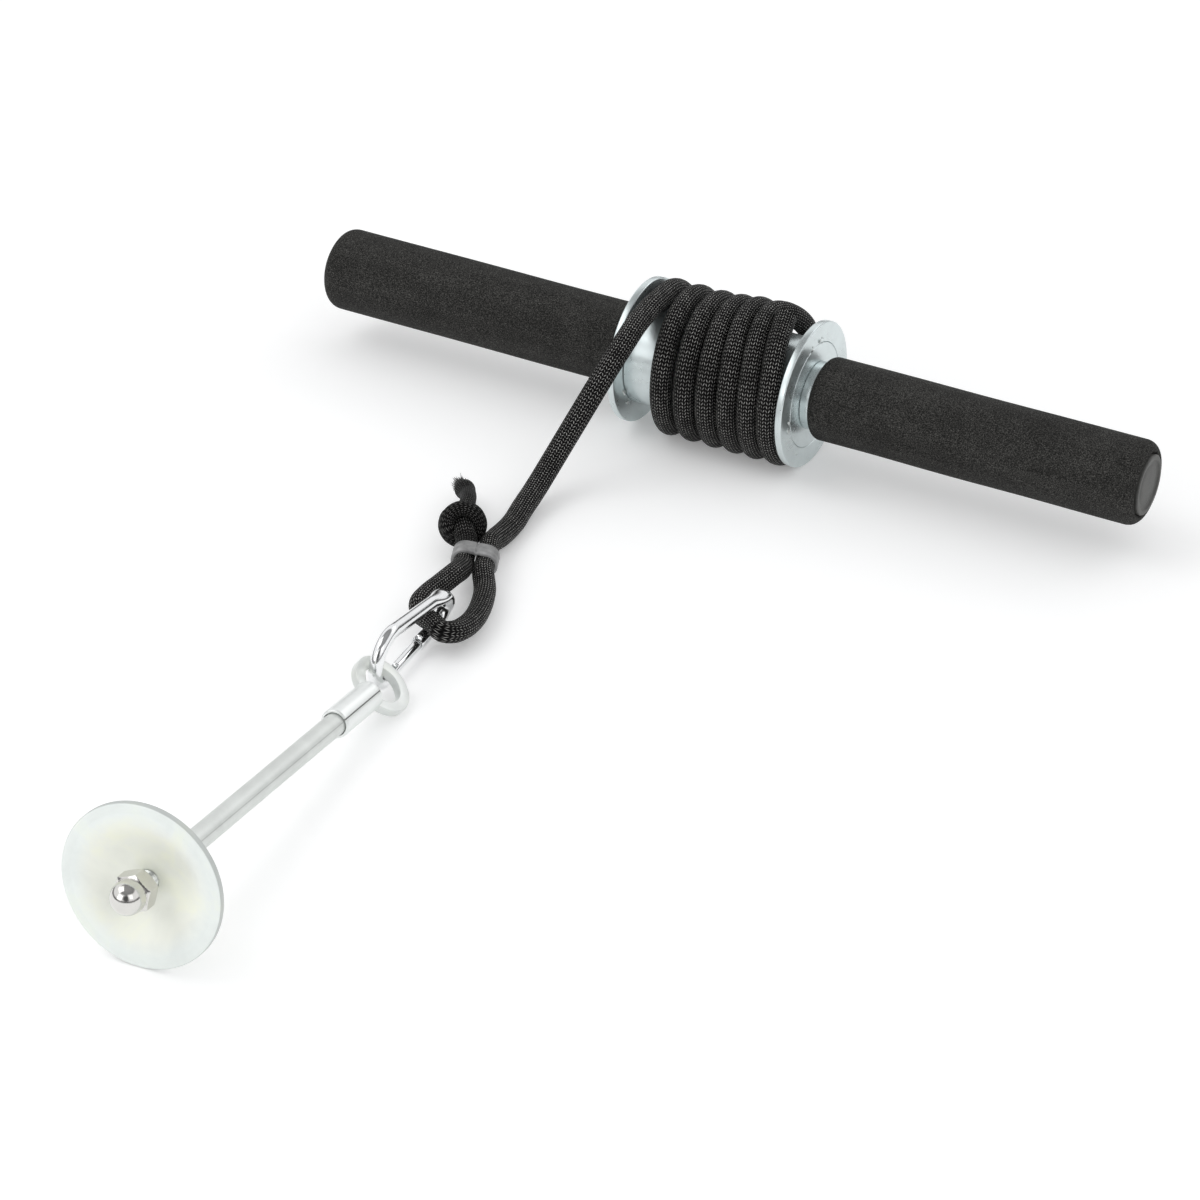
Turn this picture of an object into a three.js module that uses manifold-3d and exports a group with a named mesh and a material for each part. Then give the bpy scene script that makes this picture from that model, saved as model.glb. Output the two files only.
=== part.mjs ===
// Wrist roller: a bar with two foam grips and a spool, a rope wound on the spool, and a load pin
// with a dished disc that hangs on the rope by a snap hook. Millimetres, +Z up. The roller lies on
// the floor with its bar along X, and the rope runs out along -Y. The origin is on the floor under
// the bar's axis, in the middle of the bar.
import * as THREE from "three";
import { mergeVertices } from "three/addons/utils/BufferGeometryUtils.js";
import Module from "manifold-3d";

const wasm = await Module();
wasm.setup();

const degree = Math.PI / 180;
const { sin, cos, asin, tan, PI } = Math;

// Fits and cutters
const clearance = 0.3; // between pieces that are joined or turn on each other
const overrun = 3; // how far a cutter passes the face that it opens
const edgeRound = 0.6; // broken edge of turned steel

// Bar and grips
const barRadius = 12.5;
const barWall = 1.8;
const gripLength = 143;
const gripRadius = 17.5;
const gripOuterRound = 5.5;
const gripInnerRound = 3;
const gripToSpool = 4.2; // bare hub between flange and grip

// Spool
const spoolLength = 80; // over both flanges
const drumRadius = 22.25;
const drumWall = 2;
const flangeRadius = 30.95;
const flangeThickness = 3;
const hubRadius = 14.35;

// End caps
const capHeadThickness = 2.4;
const capRimWidth = 2;
const capRimHeight = 0.7;
const capRimRound = 0.5;
const capShankWall = 1.6;
const capShankLength = 14;
const capRibCount = 3;
const capRibHeight = 0.4;
const capRibWidth = 1.2;

// Rope
const ropeDiameter = 9.3;
const ropeToDrum = 0.5; // under the turns
const loopDiameter = 7.8; // the rope is drawn thin in the loop
const loopSkew = 28 * degree; // the rope lies aslant across the hook
const woundFlatShare = 0.1; // of the rope's diameter, pressed flat where the turns lie on the floor

// Winding: the place of a turn along the bar is a quadratic of the turns, plus a sway
const firstTurnInset = 8.6; // from the flange
const spareWidth = 14; // of the drum, left over beside the whole turns
const meanPitch = 9.9; // gives the number of whole turns that the drum takes
const lastTurnShortfall = 0.05; // the rope's first end stops short of a whole turn, at the top
const turnPitch = 11.15; // at the first turn
const pitchLossPerTurn = 0.224; // the turns crowd together towards the far flange
const turnSway = 4;
const swayPhase = 28 * degree;
const crestLean = 2.6; // the last turns lean away from the far flange where they pass the top
const crestLift = 2.9; // and stand off the drum there
const crossingSwing = 6.5; // the turn before the last crosses to the far flange behind the top
const stepsPerTurn = 24;
const woundSides = 6;

// Clamp round both strands of the loop
const clampLength = 8.2;
const clampWall = 1.1;
const clampTurn = 23 * degree; // of the strands, from -Y towards +X
const clampLean = 8 * degree; // the knot's strand lies higher than the other
const clampPlace = new THREE.Vector3(-30.4, -155, 8.6);

// Knot
const knotPlace = new THREE.Vector3(-44.6, -140.4, 12.6);
const knotTurnRadius = 6.4; // centre line of the wrapping turn
const knotRopeRadius = 3.3; // the rope is squeezed in the knot
const knotNeckRadius = 3.5;
const knotAxis = new THREE.Vector3(-0.58, 0.81, 0.06).normalize();
const knotLean = 20 * degree;

// Snap hook
const hookLength = 68.4;
const hookWire = 5.4;
const hookBroadRadius = 10.6; // centre line at the end that holds the eye
const hookNarrowRadius = 5.9; // centre line at the end that holds the rope
const gateDiameter = 4.2;
const gatePinRadius = 0.8;
const tangThickness = 1.9;
const gateHinge = 6.6; // from the broad bend's centre, along the gate's line
const gateTip = 28;
const tongueLength = 2;
const springBore = 1.3;
const springLength = 6.5;
const hookPlace = new THREE.Vector3(-15.8, -245.7, 15.2); // centre of the broad bend
const hookTurn = 6.3 * degree; // about Z
const hookDip = 5.65 * degree; // the narrow end lies lower
const hookLean = 6.4 * degree; // the spine leans towards +X

// Eye and swivel
const eyeOuterRadius = 12.4;
const eyeInnerRadius = 8;
const eyeThickness = 3.5;
const eyeEdge = 1.2;
const eyeRoll = 39 * degree; // the ring's left side stands up
const ferruleRadius = 5.65;
const ferruleBore = 4.65;
const ferruleStart = 9; // from the eye's centre
const ferruleEnd = 38;
const shoulderLength = 3;
const mouthDepth = 3;

// Load pin
const rodRadius = 4.25;
const neckRadius = 3.2;
const collarRadius = 4.3;
const collarLength = 4;
const collarTip = 1.2; // neck beyond the collar
const rodEnter = 2.4; // of the full rod inside the ferrule's mouth
const discDistance = 182.4; // eye centre to the disc's rim
const discRadius = 30.3;
const discThickness = 2.6;
const discBand = 5; // flat rim
const discDepth = 5.6; // dish, towards the rod
const discHub = 8.5; // radius of the flat middle
const studRadius = 3.9;
const nutAcross = 13;
const nutHexHeight = 6.5;
const nutHeight = 15;
const nutDomeRadius = 6.1;
const nutStandoff = 5.5; // bare thread between disc and nut
const studInNut = 9;
const nutBevel = 0.9;
const pinTurn = 4.93 * degree; // about Z
const eyeX = -12.25;
const eyeY = -256.8;
const eyeHeight = 9.37; // the ring's low side is at the floor

// Worked out from the sizes above
const ropeRadius = ropeDiameter / 2;
const loopRadius = loopDiameter / 2;
const woundRadius = drumRadius + ropeToDrum + ropeRadius;
const barHeight = woundRadius + ropeRadius - ropeDiameter * woundFlatShare;
const spoolHalf = spoolLength / 2;
const gripStart = spoolHalf + gripToSpool;
const gripEnd = gripStart + gripLength;
const barHalf = gripEnd - capHeadThickness;
const discBandFace = discDistance - discThickness;
const drumEndInner = spoolHalf - flangeThickness;
const wholeTurns = Math.floor((2 * drumEndInner - spareWidth) / meanPitch);
const woundTurns = wholeTurns - lastTurnShortfall;
const firstTurnX = firstTurnInset - drumEndInner;

// The load pin lies on the disc's rim at one end and on the eye at the other.
const discReach = Math.hypot(discRadius, discBandFace);
const pinDip = Math.acos(eyeHeight / discReach) - Math.atan2(discBandFace, discRadius);

const roundSteps = 36;
const smallSteps = 24;

// Materials
const steel = (color, roughness, metalness = 1) =>
  new THREE.MeshStandardMaterial({ color, roughness, metalness });
const zinc = () => steel(0xb4bcbc, 0.34);
const brightZinc = () => steel(0xc9cfc8, 0.38);
const chrome = () => steel(0xd4d6d8, 0.14);
const foam = () => steel(0x2b2a29, 0.92, 0);
const ropeCloth = () => steel(0x1e1e1d, 0.85, 0);
const capPlastic = () => steel(0x3b3c3e, 0.55, 0);
const clampMetal = () => steel(0x4d4e50, 0.5, 0.4);

// Helpers

// A solid for joining and cutting, from a closed geometry placed by a matrix.
function solid(geometry, matrix = new THREE.Matrix4()) {
  const bare = geometry.clone();
  bare.deleteAttribute("normal");
  bare.deleteAttribute("uv");
  bare.applyMatrix4(matrix);
  const merged = mergeVertices(bare, 1e-4);
  return new wasm.Manifold(
    new wasm.Mesh({
      numProp: 3,
      vertProperties: merged.attributes.position.array,
      triVerts: new Uint32Array(merged.index.array),
    }),
  );
}

function geometryOf(manifold) {
  const mesh = manifold.getMesh();
  const geometry = new THREE.BufferGeometry();
  geometry.setAttribute("position", new THREE.BufferAttribute(mesh.vertProperties, mesh.numProp));
  geometry.setIndex(new THREE.BufferAttribute(mesh.triVerts, 1));
  geometry.computeVertexNormals();
  return geometry;
}

function add(group, name, geometry, material) {
  const mesh = new THREE.Mesh(geometry, material);
  mesh.name = name;
  group.add(mesh);
  return mesh;
}

// A turned piece from [radius, height] points. The outline runs up on the outside.
function turned(points, steps = roundSteps) {
  const closed = points[0][0] !== 0;
  const outline = closed ? [...points, points[0]] : points;
  const area = outline
    .slice(1)
    .reduce((sum, [r, h], i) => sum + outline[i][0] * h - r * outline[i][1], 0);
  const ordered = area < 0 ? [...outline].reverse() : outline;
  return new THREE.LatheGeometry(ordered.map(([r, h]) => new THREE.Vector2(r, h)), steps);
}

// A quarter round in an outline, from one angle to another about its centre.
function arc(radius, height, round, from, to, steps = 4) {
  return Array.from({ length: steps + 1 }, (_, i) => {
    const angle = (from + ((to - from) * i) / steps) * degree;
    return [radius + round * cos(angle), height + round * sin(angle)];
  });
}

function pipe(inner, outer, from, to, steps = roundSteps) {
  return turned([[inner, from], [outer, from], [outer, to], [inner, to]], steps);
}

function rod(radius, from, to, steps = smallSteps) {
  return turned([[0, from], [radius, from], [radius, to], [0, to]], steps);
}

function ngon(radius, sides) {
  const shape = new THREE.Shape();
  shape.setFromPoints(
    Array.from({ length: sides }, (_, i) => {
      const angle = ((i + 0.5) * 2 * PI) / sides;
      return new THREE.Vector2(radius * cos(angle), radius * sin(angle));
    }),
  );
  return shape;
}

function tube(curve, radius, sides, steps) {
  return new THREE.ExtrudeGeometry(ngon(radius, sides), { extrudePath: curve, steps });
}

function vectors(points) {
  return points.map((p) => new THREE.Vector3(...p));
}

function smooth(points) {
  return new THREE.CatmullRomCurve3(points, false, "centripetal");
}

function box(width, depth, height, matrix = new THREE.Matrix4()) {
  return solid(new THREE.BoxGeometry(width, depth, height), matrix);
}

function shift(x, y, z) {
  return new THREE.Matrix4().makeTranslation(x, y, z);
}

// A frame whose X, Y and Z axes are the given directions.
function frameOf(place, xAxis, yAxis) {
  const zAxis = new THREE.Vector3().crossVectors(xAxis, yAxis);
  return new THREE.Matrix4().makeBasis(xAxis, yAxis, zAxis).setPosition(place);
}

function placed(matrix) {
  const group = new THREE.Group();
  matrix.decompose(group.position, group.quaternion, group.scale);
  return group;
}

const model = new THREE.Group();

// Bar, grips and spool, turned about the bar's axis: the group's Y is the bar's X
const roller = new THREE.Group();
roller.position.z = barHeight;
roller.rotation.z = -90 * degree;
model.add(roller);

function grip() {
  const bore = barRadius + clearance;
  const inner = arc(gripRadius - gripInnerRound, gripStart + gripInnerRound, gripInnerRound, -90, 0, 3);
  const outer = arc(gripRadius - gripOuterRound, gripEnd - gripOuterRound, gripOuterRound, 0, 80, 5);
  return turned([[bore, gripStart], ...inner, ...outer, [bore, gripEnd]], roundSteps);
}

// Head with a raised rim, and a ribbed shank in the bar's end
function endCap() {
  const boreRadius = barRadius - barWall;
  const shank = boreRadius - clearance - capRibHeight;
  const headBottom = barHalf + clearance;
  const headTop = headBottom + capHeadThickness;
  const rimInner = barRadius - capRimWidth;
  const pitch = capShankLength / (capRibCount + 1);
  const ribs = Array.from({ length: capRibCount }, (_, i) => {
    const middle = headBottom - capShankLength + pitch * (i + 1);
    return [
      [shank, middle - capRibWidth / 2],
      [shank + capRibHeight, middle],
      [shank, middle + capRibWidth / 2],
    ];
  }).flat();
  return turned(
    [
      [0, headBottom],
      [shank - capShankWall, headBottom],
      [shank - capShankWall, headBottom - capShankLength],
      [shank, headBottom - capShankLength],
      ...ribs,
      [shank, headBottom],
      [barRadius, headBottom],
      ...arc(barRadius - capRimRound, headTop - capRimRound, capRimRound, 0, 90, 2),
      [rimInner, headTop],
      [rimInner - capRimHeight, headTop - capRimHeight],
      [0, headTop - capRimHeight],
    ],
    smallSteps,
  );
}

function flange() {
  const bore = drumRadius + clearance;
  const low = spoolHalf - flangeThickness;
  return turned(
    [
      [bore, low],
      ...arc(flangeRadius - edgeRound, low + edgeRound, edgeRound, -90, 0, 2),
      ...arc(flangeRadius - edgeRound, spoolHalf - edgeRound, edgeRound, 0, 90, 2),
      [bore, spoolHalf],
    ],
    roundSteps,
  );
}

const barBore = barRadius - barWall;
const onBar = barRadius + clearance;
add(roller, "bar_tube", pipe(barBore, barRadius, -barHalf, barHalf), zinc());
add(
  roller,
  "drum_tube",
  pipe(drumRadius - drumWall, drumRadius, clearance - drumEndInner, drumEndInner - clearance),
  zinc(),
);
for (const [side, turn] of [["right", 0], ["left", PI]]) {
  const half = new THREE.Group();
  half.rotation.x = turn;
  roller.add(half);
  add(half, "flange_" + side, flange(), zinc());
  add(half, "drum_end_" + side, pipe(onBar, drumRadius, drumEndInner, spoolHalf), zinc());
  add(
    half,
    "hub_sleeve_" + side,
    pipe(onBar, hubRadius, spoolHalf + clearance, gripStart - clearance),
    zinc(),
  );
  add(half, "grip_" + side, grip(), foam());
  add(half, "end_cap_" + side, endCap(), capPlastic());
}

// Winding: one unbroken tube of rope round the drum

// 0 below low, 1 above high, and smooth between them.
function between(value, low, high) {
  const t = Math.min(1, Math.max(0, (value - low) / (high - low)));
  return t * t * (3 - 2 * t);
}

// How much a place on the winding is at the top, and among its last turns.
function crest(turns) {
  const lateness = between(turns, wholeTurns - 4, wholeTurns - 1);
  return lateness * Math.max(0, cos(2 * PI * turns)) ** 4;
}

// Place along the bar of the rope's centre after so many turns from its take-off at the top.
function woundX(turns) {
  const crowding = pitchLossPerTurn * turns * turns;
  const swept = firstTurnX + turnPitch * turns - crowding - turnSway * sin(2 * PI * turns + swayPhase);
  const crossed =
    between(turns, wholeTurns - 1, wholeTurns - 0.85) *
    (1 - between(turns, wholeTurns - 0.7, wholeTurns - 0.3));
  return swept - crestLean * crest(turns) + crossingSwing * crossed;
}

function woundPoint(turns) {
  const angle = 2 * PI * turns;
  const radius = woundRadius + crestLift * crest(turns);
  return new THREE.Vector3(woundX(turns), radius * sin(angle), barHeight + radius * cos(angle));
}

function woundFrame(turns) {
  const step = 1 / stepsPerTurn / 50;
  const along = woundPoint(turns + step).sub(woundPoint(turns - step)).normalize();
  const angle = 2 * PI * turns;
  const outward = new THREE.Vector3(0, sin(angle), cos(angle));
  const across = new THREE.Vector3().crossVectors(along, outward).normalize();
  return { place: woundPoint(turns), along, outward, across };
}

function ring({ place, outward, across }, radius, sides) {
  return Array.from({ length: sides }, (_, i) => {
    const angle = (2 * PI * i) / sides;
    return place
      .clone()
      .addScaledVector(outward, radius * cos(angle))
      .addScaledVector(across, radius * sin(angle));
  });
}

// A closed tube over rings of points, with flat ends.
function skin(rings) {
  const sides = rings[0].length;
  const index = [];
  for (let i = 0; i + 1 < rings.length; i++)
    for (let j = 0; j < sides; j++) {
      const a = i * sides + j;
      const b = i * sides + ((j + 1) % sides);
      index.push(a, b, a + sides, b, b + sides, a + sides);
    }
  const last = (rings.length - 1) * sides;
  for (let j = 1; j + 1 < sides; j++) {
    index.push(0, j + 1, j);
    index.push(last, last + j, last + j + 1);
  }
  const geometry = new THREE.BufferGeometry();
  geometry.setAttribute(
    "position",
    new THREE.Float32BufferAttribute(rings.flat().flatMap((p) => p.toArray()), 3),
  );
  geometry.setIndex(index);
  return geometry;
}

const woundSteps = Math.round(woundTurns * stepsPerTurn);
const woundFrames = Array.from({ length: woundSteps + 1 }, (_, i) =>
  woundFrame((woundTurns * i) / woundSteps),
);

// The rope runs straight for one diameter at each end of the winding.
function straightened(frame, distance) {
  return { ...frame, place: frame.place.clone().addScaledVector(frame.along, distance) };
}

const woundStart = straightened(woundFrames[0], -ropeDiameter);
const woundEnd = straightened(woundFrames[woundSteps], ropeDiameter);
const woundRings = [woundStart, ...woundFrames, woundEnd].map((f) => ring(f, ropeRadius, woundSides));

function leastGap(rings, apart) {
  let least = Infinity;
  rings.forEach((one, i) =>
    rings.slice(i + apart).forEach((other) =>
      one.forEach((p) =>
        other.forEach((q) => {
          least = Math.min(least, p.distanceTo(q));
        }),
      ),
    ),
  );
  return least;
}
console.log("least gap of the winding to itself:", leastGap(woundRings, stepsPerTurn / 2).toFixed(2));

const floorCut = box(
  spoolLength,
  2 * woundRadius,
  overrun + overrun,
  shift(0, 0, -overrun),
);
const winding = solid(skin(woundRings)).subtract(floorCut);
add(model, "rope_winding", geometryOf(winding), ropeCloth());

// Strands through the clamp: both run along one direction, one higher than the other
const strandAlong = new THREE.Vector3(sin(clampTurn), -cos(clampTurn), 0);
const clampAcross = new THREE.Vector3(
  cos(clampTurn) * cos(clampLean),
  sin(clampTurn) * cos(clampLean),
  -sin(clampLean),
);
const strandSpacing = loopDiameter + 2 * clearance;

function strandPoint(side, along) {
  return clampPlace
    .clone()
    .addScaledVector(clampAcross, (side * strandSpacing) / 2)
    .addScaledVector(strandAlong, along);
}

const clampHalf = clampLength / 2;
const spanStop = clampHalf + ropeRadius; // the free stretch ends this far before the clamp's middle
const knotStart = clampHalf + clearance;

// Hook frame: X along the hook, Y from the gate to the spine
const hookAlong = new THREE.Vector3(
  -sin(hookTurn) * cos(hookDip),
  cos(hookTurn) * cos(hookDip),
  -sin(hookDip),
);
const hookLevel = new THREE.Vector3(cos(hookTurn), sin(hookTurn), 0);
const hookUp = new THREE.Vector3()
  .crossVectors(hookLevel, hookAlong)
  .multiplyScalar(cos(hookLean))
  .addScaledVector(hookLevel, sin(hookLean));
const hookNormal = new THREE.Vector3().crossVectors(hookAlong, hookUp);
const hookMatrix = frameOf(hookPlace, hookAlong, hookUp);
const bendSpacing = hookLength - hookWire - hookBroadRadius - hookNarrowRadius;
const taper = asin((hookBroadRadius - hookNarrowRadius) / bendSpacing);

// The rope lies across the hook where spine and nose are a rope apart.
const hookWireRadius = hookWire / 2;
const hookInside = loopDiameter + hookWire + 2 * clearance;
const ropeInHook = (hookBroadRadius / cos(taper) - hookInside / 2) / tan(taper);
const hookCross = new THREE.Vector3(ropeInHook, 0, 0).applyMatrix4(hookMatrix);

function acrossHook(distance) {
  return hookCross
    .clone()
    .addScaledVector(hookNormal, distance * cos(loopSkew))
    .addScaledVector(hookAlong, -distance * sin(loopSkew));
}

// Free stretch: from the winding over to the floor and along it to the clamp
const spanStart = -ropeDiameter - clearance; // from the point where the rope meets the drum
const spanRoute = [
  straightened(woundFrames[0], spanStart).place,
  straightened(woundFrames[0], spanStart - ropeRadius).place,
  ...vectors([
    [-29.3, -20, 58],
    [-28.5, -30, 56.7],
    [-28, -40, 53.5],
    [-28.8, -50.5, 47.5],
    [-30.8, -59, 39.5],
    [-33.6, -66, 30.5],
    [-36.4, -73, 21.5],
    [-38.2, -82, 13.5],
    [-38.2, -93, 8.4],
    [-36.9, -105.5, 6],
    [-34.9, -117, 5],
    [-33.8, -127, 5.4],
    [-32.9, -135, 6.7],
  ]),
  strandPoint(1, -spanStop - ropeRadius),
  strandPoint(1, -spanStop),
];
add(model, "rope_span", tube(smooth(spanRoute), ropeRadius, 10, 44), ropeCloth());

// Loop: through the clamp, round through the hook and back through the clamp
const loopRoute = [
  strandPoint(1, clearance - spanStop),
  strandPoint(1, 0),
  strandPoint(1, clampHalf),
  strandPoint(1, spanStop),
  ...vectors([
    [-17.2, -170.5, 6.2],
    [-12.6, -181, 6.2],
    [-9.3, -192, 6.8],
    [-8.1, -202, 8],
    [-8.8, -209.5, 9.6],
    [-11.6, -213, 10.9],
  ]),
  acrossHook(loopRadius),
  acrossHook(0),
  acrossHook(-loopRadius),
  ...vectors([
    [-27, -203.5, 13],
    [-28, -196, 13.2],
    [-27.8, -187, 13.1],
    [-27.6, -177, 13],
  ]),
  strandPoint(-1, spanStop),
  strandPoint(-1, clampHalf),
  strandPoint(-1, 0),
  strandPoint(-1, -knotStart),
];
add(model, "rope_loop", tube(smooth(loopRoute), loopRadius, 10, 60), ropeCloth());

// Knot: a neck, one wrapping turn round it, and the tail
const neckRoute = [
  strandPoint(-1, -knotStart - clearance),
  strandPoint(-1, -knotStart - loopRadius),
  knotPlace.clone(),
  knotPlace.clone().addScaledVector(knotAxis, knotTurnRadius),
];
const tailRoute = [
  knotPlace.clone(),
  ...vectors([
    [-49.4, -130.6, 12.6],
    [-53.2, -121.5, 12],
    [-58.2, -113, 9.8],
    [-66, -105, 7.6],
  ]),
];
const knotSide = new THREE.Vector3().crossVectors(new THREE.Vector3(0, 0, 1), knotAxis).normalize();
const knotFrame = frameOf(knotPlace, knotSide, new THREE.Vector3().crossVectors(knotAxis, knotSide));
knotFrame.multiply(new THREE.Matrix4().makeRotationX(knotLean));
const knot = solid(tube(smooth(neckRoute), knotNeckRadius, 10, 12))
  .add(solid(new THREE.TorusGeometry(knotTurnRadius, knotRopeRadius, 8, 20), knotFrame))
  .add(solid(tube(smooth(tailRoute), knotRopeRadius, 10, 14)));
add(model, "rope_knot", geometryOf(knot), ropeCloth());

// Clamp: one band, flat over both strands and round at its ends
const clampFrame = frameOf(clampPlace, clampAcross, strandAlong);
const strandHole = loopRadius + clearance;

function bothStrands(radius, length) {
  const half = strandSpacing / 2;
  const one = solid(rod(radius, -length / 2, length / 2), shift(half, 0, 0));
  const other = solid(rod(radius, -length / 2, length / 2), shift(-half, 0, 0));
  return one.add(other).add(box(strandSpacing, length, 2 * radius));
}
const clamp = bothStrands(strandHole + clampWall, clampLength).subtract(
  bothStrands(strandHole, clampLength + overrun),
);
const clampGroup = placed(clampFrame);
model.add(clampGroup);
add(clampGroup, "rope_clamp", geometryOf(clamp), clampMetal());

// Snap hook: one bent wire, from the gate's hinge round the broad bend, the spine and the narrow
// bend to the nose
const hook = placed(hookMatrix);
model.add(hook);

class Bend extends THREE.Curve {
  constructor(centre, radius, from, to) {
    super();
    Object.assign(this, { centre, radius, from, to });
  }
  getPoint(t, target = new THREE.Vector3()) {
    const angle = this.from + (this.to - this.from) * t;
    return target.set(this.centre + this.radius * cos(angle), this.radius * sin(angle), 0);
  }
}

// A point on the gate's line, by its distance from the broad bend's tangent point.
const gateAlong = new THREE.Vector3(cos(taper), sin(taper), 0);
const gateLineStart = new THREE.Vector3(
  hookBroadRadius * sin(taper),
  -hookBroadRadius * cos(taper),
  0,
);
function gatePoint(along) {
  return gateLineStart.clone().addScaledVector(gateAlong, along);
}

const quarter = PI / 2;
const wireEnd = gateHinge - gateDiameter / 2 - clearance;
const noseStart = gateTip + clearance;
const broadBend = new Bend(0, hookBroadRadius, taper - quarter, -3 * quarter - taper);
const narrowBend = new Bend(bendSpacing, hookNarrowRadius, quarter - taper, taper - quarter);
const wire = new THREE.CurvePath();
wire.add(new THREE.LineCurve3(gatePoint(wireEnd), broadBend.getPoint(0)));
wire.add(broadBend);
wire.add(new THREE.LineCurve3(broadBend.getPoint(1), narrowBend.getPoint(0)));
wire.add(narrowBend);
wire.add(new THREE.LineCurve3(narrowBend.getPoint(1), gatePoint(noseStart)));

// A block on the gate's line, between two places along it.
function gateBlock(from, to, height, thickness) {
  const matrix = frameOf(
    gatePoint((from + to) / 2),
    gateAlong,
    new THREE.Vector3(-gateAlong.y, gateAlong.x, 0),
  );
  return box(to - from, height, thickness, matrix);
}

function gateRound(radius, from, to) {
  const turn = new THREE.Matrix4().makeRotationZ(taper - quarter);
  return solid(rod(radius, from, to, 16), turn.setPosition(gateLineStart));
}

function gateCross(radius, along, thickness) {
  const matrix = new THREE.Matrix4().makeRotationX(quarter);
  return solid(rod(radius, -thickness / 2, thickness / 2, 16), matrix.setPosition(gatePoint(along)));
}

const gateRadius = gateDiameter / 2;
const tang = gateBlock(wireEnd - gateRadius, gateHinge, gateDiameter - clearance, tangThickness).add(
  gateCross((gateDiameter - clearance) / 2, gateHinge, tangThickness),
);
const noseSlot = gateBlock(
  noseStart - overrun,
  noseStart + tongueLength,
  hookWire + overrun,
  tangThickness + 2 * clearance,
);
const hookFrame = solid(tube(wire, hookWireRadius, 10, 56))
  .add(tang)
  .subtract(gateCross(gatePinRadius + clearance, gateHinge, hookWire))
  .subtract(noseSlot);
add(hook, "hook_frame", geometryOf(hookFrame), chrome());

const forkSlot = tangThickness + 2 * clearance;
const forkEnd = gateHinge + gateRadius + clearance;
const gate = gateRound(gateRadius, gateHinge, gateTip)
  .add(gateCross(gateRadius, gateHinge, gateDiameter * cos(30 * degree)))
  .subtract(gateBlock(gateHinge - overrun, forkEnd, hookWire, forkSlot))
  .add(gateBlock(gateTip - clearance, gateTip + tongueLength - clearance, gateDiameter, tangThickness))
  .subtract(gateCross(gatePinRadius + clearance, gateHinge, hookWire))
  .subtract(gateRound(springBore, gateHinge, forkEnd + springLength + clearance));
add(hook, "hook_gate", geometryOf(gate), chrome());
add(hook, "gate_pin", geometryOf(gateCross(gatePinRadius, gateHinge, gateDiameter)), chrome());
add(
  hook,
  "gate_spring",
  geometryOf(gateRound(springBore - clearance, forkEnd, forkEnd + springLength)),
  zinc(),
);

// Load pin: the group's Y runs from the eye's centre to the disc, along the rod
const pinAlong = new THREE.Vector3(
  sin(pinTurn) * cos(pinDip),
  -cos(pinTurn) * cos(pinDip),
  sin(pinDip),
);
const level = new THREE.Vector3(0, 0, 1).cross(pinAlong).normalize();
const pinUp = new THREE.Vector3().crossVectors(pinAlong, level);
const eyePlace = new THREE.Vector3(eyeX, eyeY, eyeHeight);
const eyeNormal = level
  .clone()
  .multiplyScalar(sin(eyeRoll))
  .addScaledVector(pinUp, cos(eyeRoll));
const eyeSide = new THREE.Vector3().crossVectors(pinAlong, eyeNormal);
const eye = placed(frameOf(eyePlace, eyeSide, pinAlong));
model.add(eye);

// The ring lies in the group's XY plane.
const eyeHalf = eyeThickness / 2;
const eyeRing = turned(
  [
    ...arc(eyeInnerRadius + eyeEdge, eyeEdge - eyeHalf, eyeEdge, 180, 270, 2),
    ...arc(eyeOuterRadius - eyeEdge, eyeEdge - eyeHalf, eyeEdge, 270, 360, 2),
    ...arc(eyeOuterRadius - eyeEdge, eyeHalf - eyeEdge, eyeEdge, 0, 90, 2),
    ...arc(eyeInnerRadius + eyeEdge, eyeHalf - eyeEdge, eyeEdge, 90, 180, 2),
  ],
  30,
);
add(eye, "eye_ring", eyeRing, brightZinc()).rotation.x = quarter;

// Ferrule: a slot for the ring at one end, and a shoulder inside that holds the rod's neck
const shoulderStart = ferruleEnd - mouthDepth - shoulderLength;
const shoulderEnd = ferruleEnd - mouthDepth;
const ferrule = solid(
  turned(
    [
      [ferruleBore, ferruleStart],
      [ferruleRadius, ferruleStart],
      ...arc(ferruleRadius - edgeRound, ferruleEnd - edgeRound, edgeRound, 0, 90, 2),
      [ferruleBore, ferruleEnd],
      [ferruleBore, shoulderEnd],
      [neckRadius + clearance, shoulderEnd],
      [neckRadius + clearance, shoulderStart],
      [ferruleBore, shoulderStart],
    ],
    smallSteps,
  ),
).subtract(
  box(
    2 * ferruleRadius + overrun,
    2 * (eyeOuterRadius + clearance),
    eyeThickness + 2 * clearance,
  ),
);
add(eye, "ferrule", geometryOf(ferrule), brightZinc());

// Rod: neck in the swivel, full rod to the disc, thread through the disc into the nut
const rodStart = ferruleEnd - rodEnter;
const neckStart = shoulderStart - clearance - collarLength - collarTip;
const hubFace = discBandFace - discDepth;
const rodEnd = hubFace - clearance;
const discHubTop = hubFace + discThickness;
const nutStart = discHubTop + nutStandoff;
const studEnd = nutStart + studInNut;
const loadRod = turned(
  [
    [0, neckStart],
    [neckRadius, neckStart],
    [neckRadius, rodStart],
    [rodRadius, rodStart],
    [rodRadius, rodEnd],
    [studRadius, rodEnd],
    [studRadius, studEnd - edgeRound],
    [studRadius - edgeRound, studEnd],
    [0, studEnd],
  ],
  smallSteps,
);
add(eye, "load_rod", loadRod, brightZinc());
add(
  eye,
  "swivel_collar",
  pipe(
    neckRadius + clearance,
    collarRadius,
    shoulderStart - clearance - collarLength,
    shoulderStart - clearance,
    smallSteps,
  ),
  brightZinc(),
);

// Disc: a flat band at the rim, and a dish that sinks towards the rod in an S curve
const dishSteps = 5;
const dishOuter = discRadius - discBand;

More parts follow.
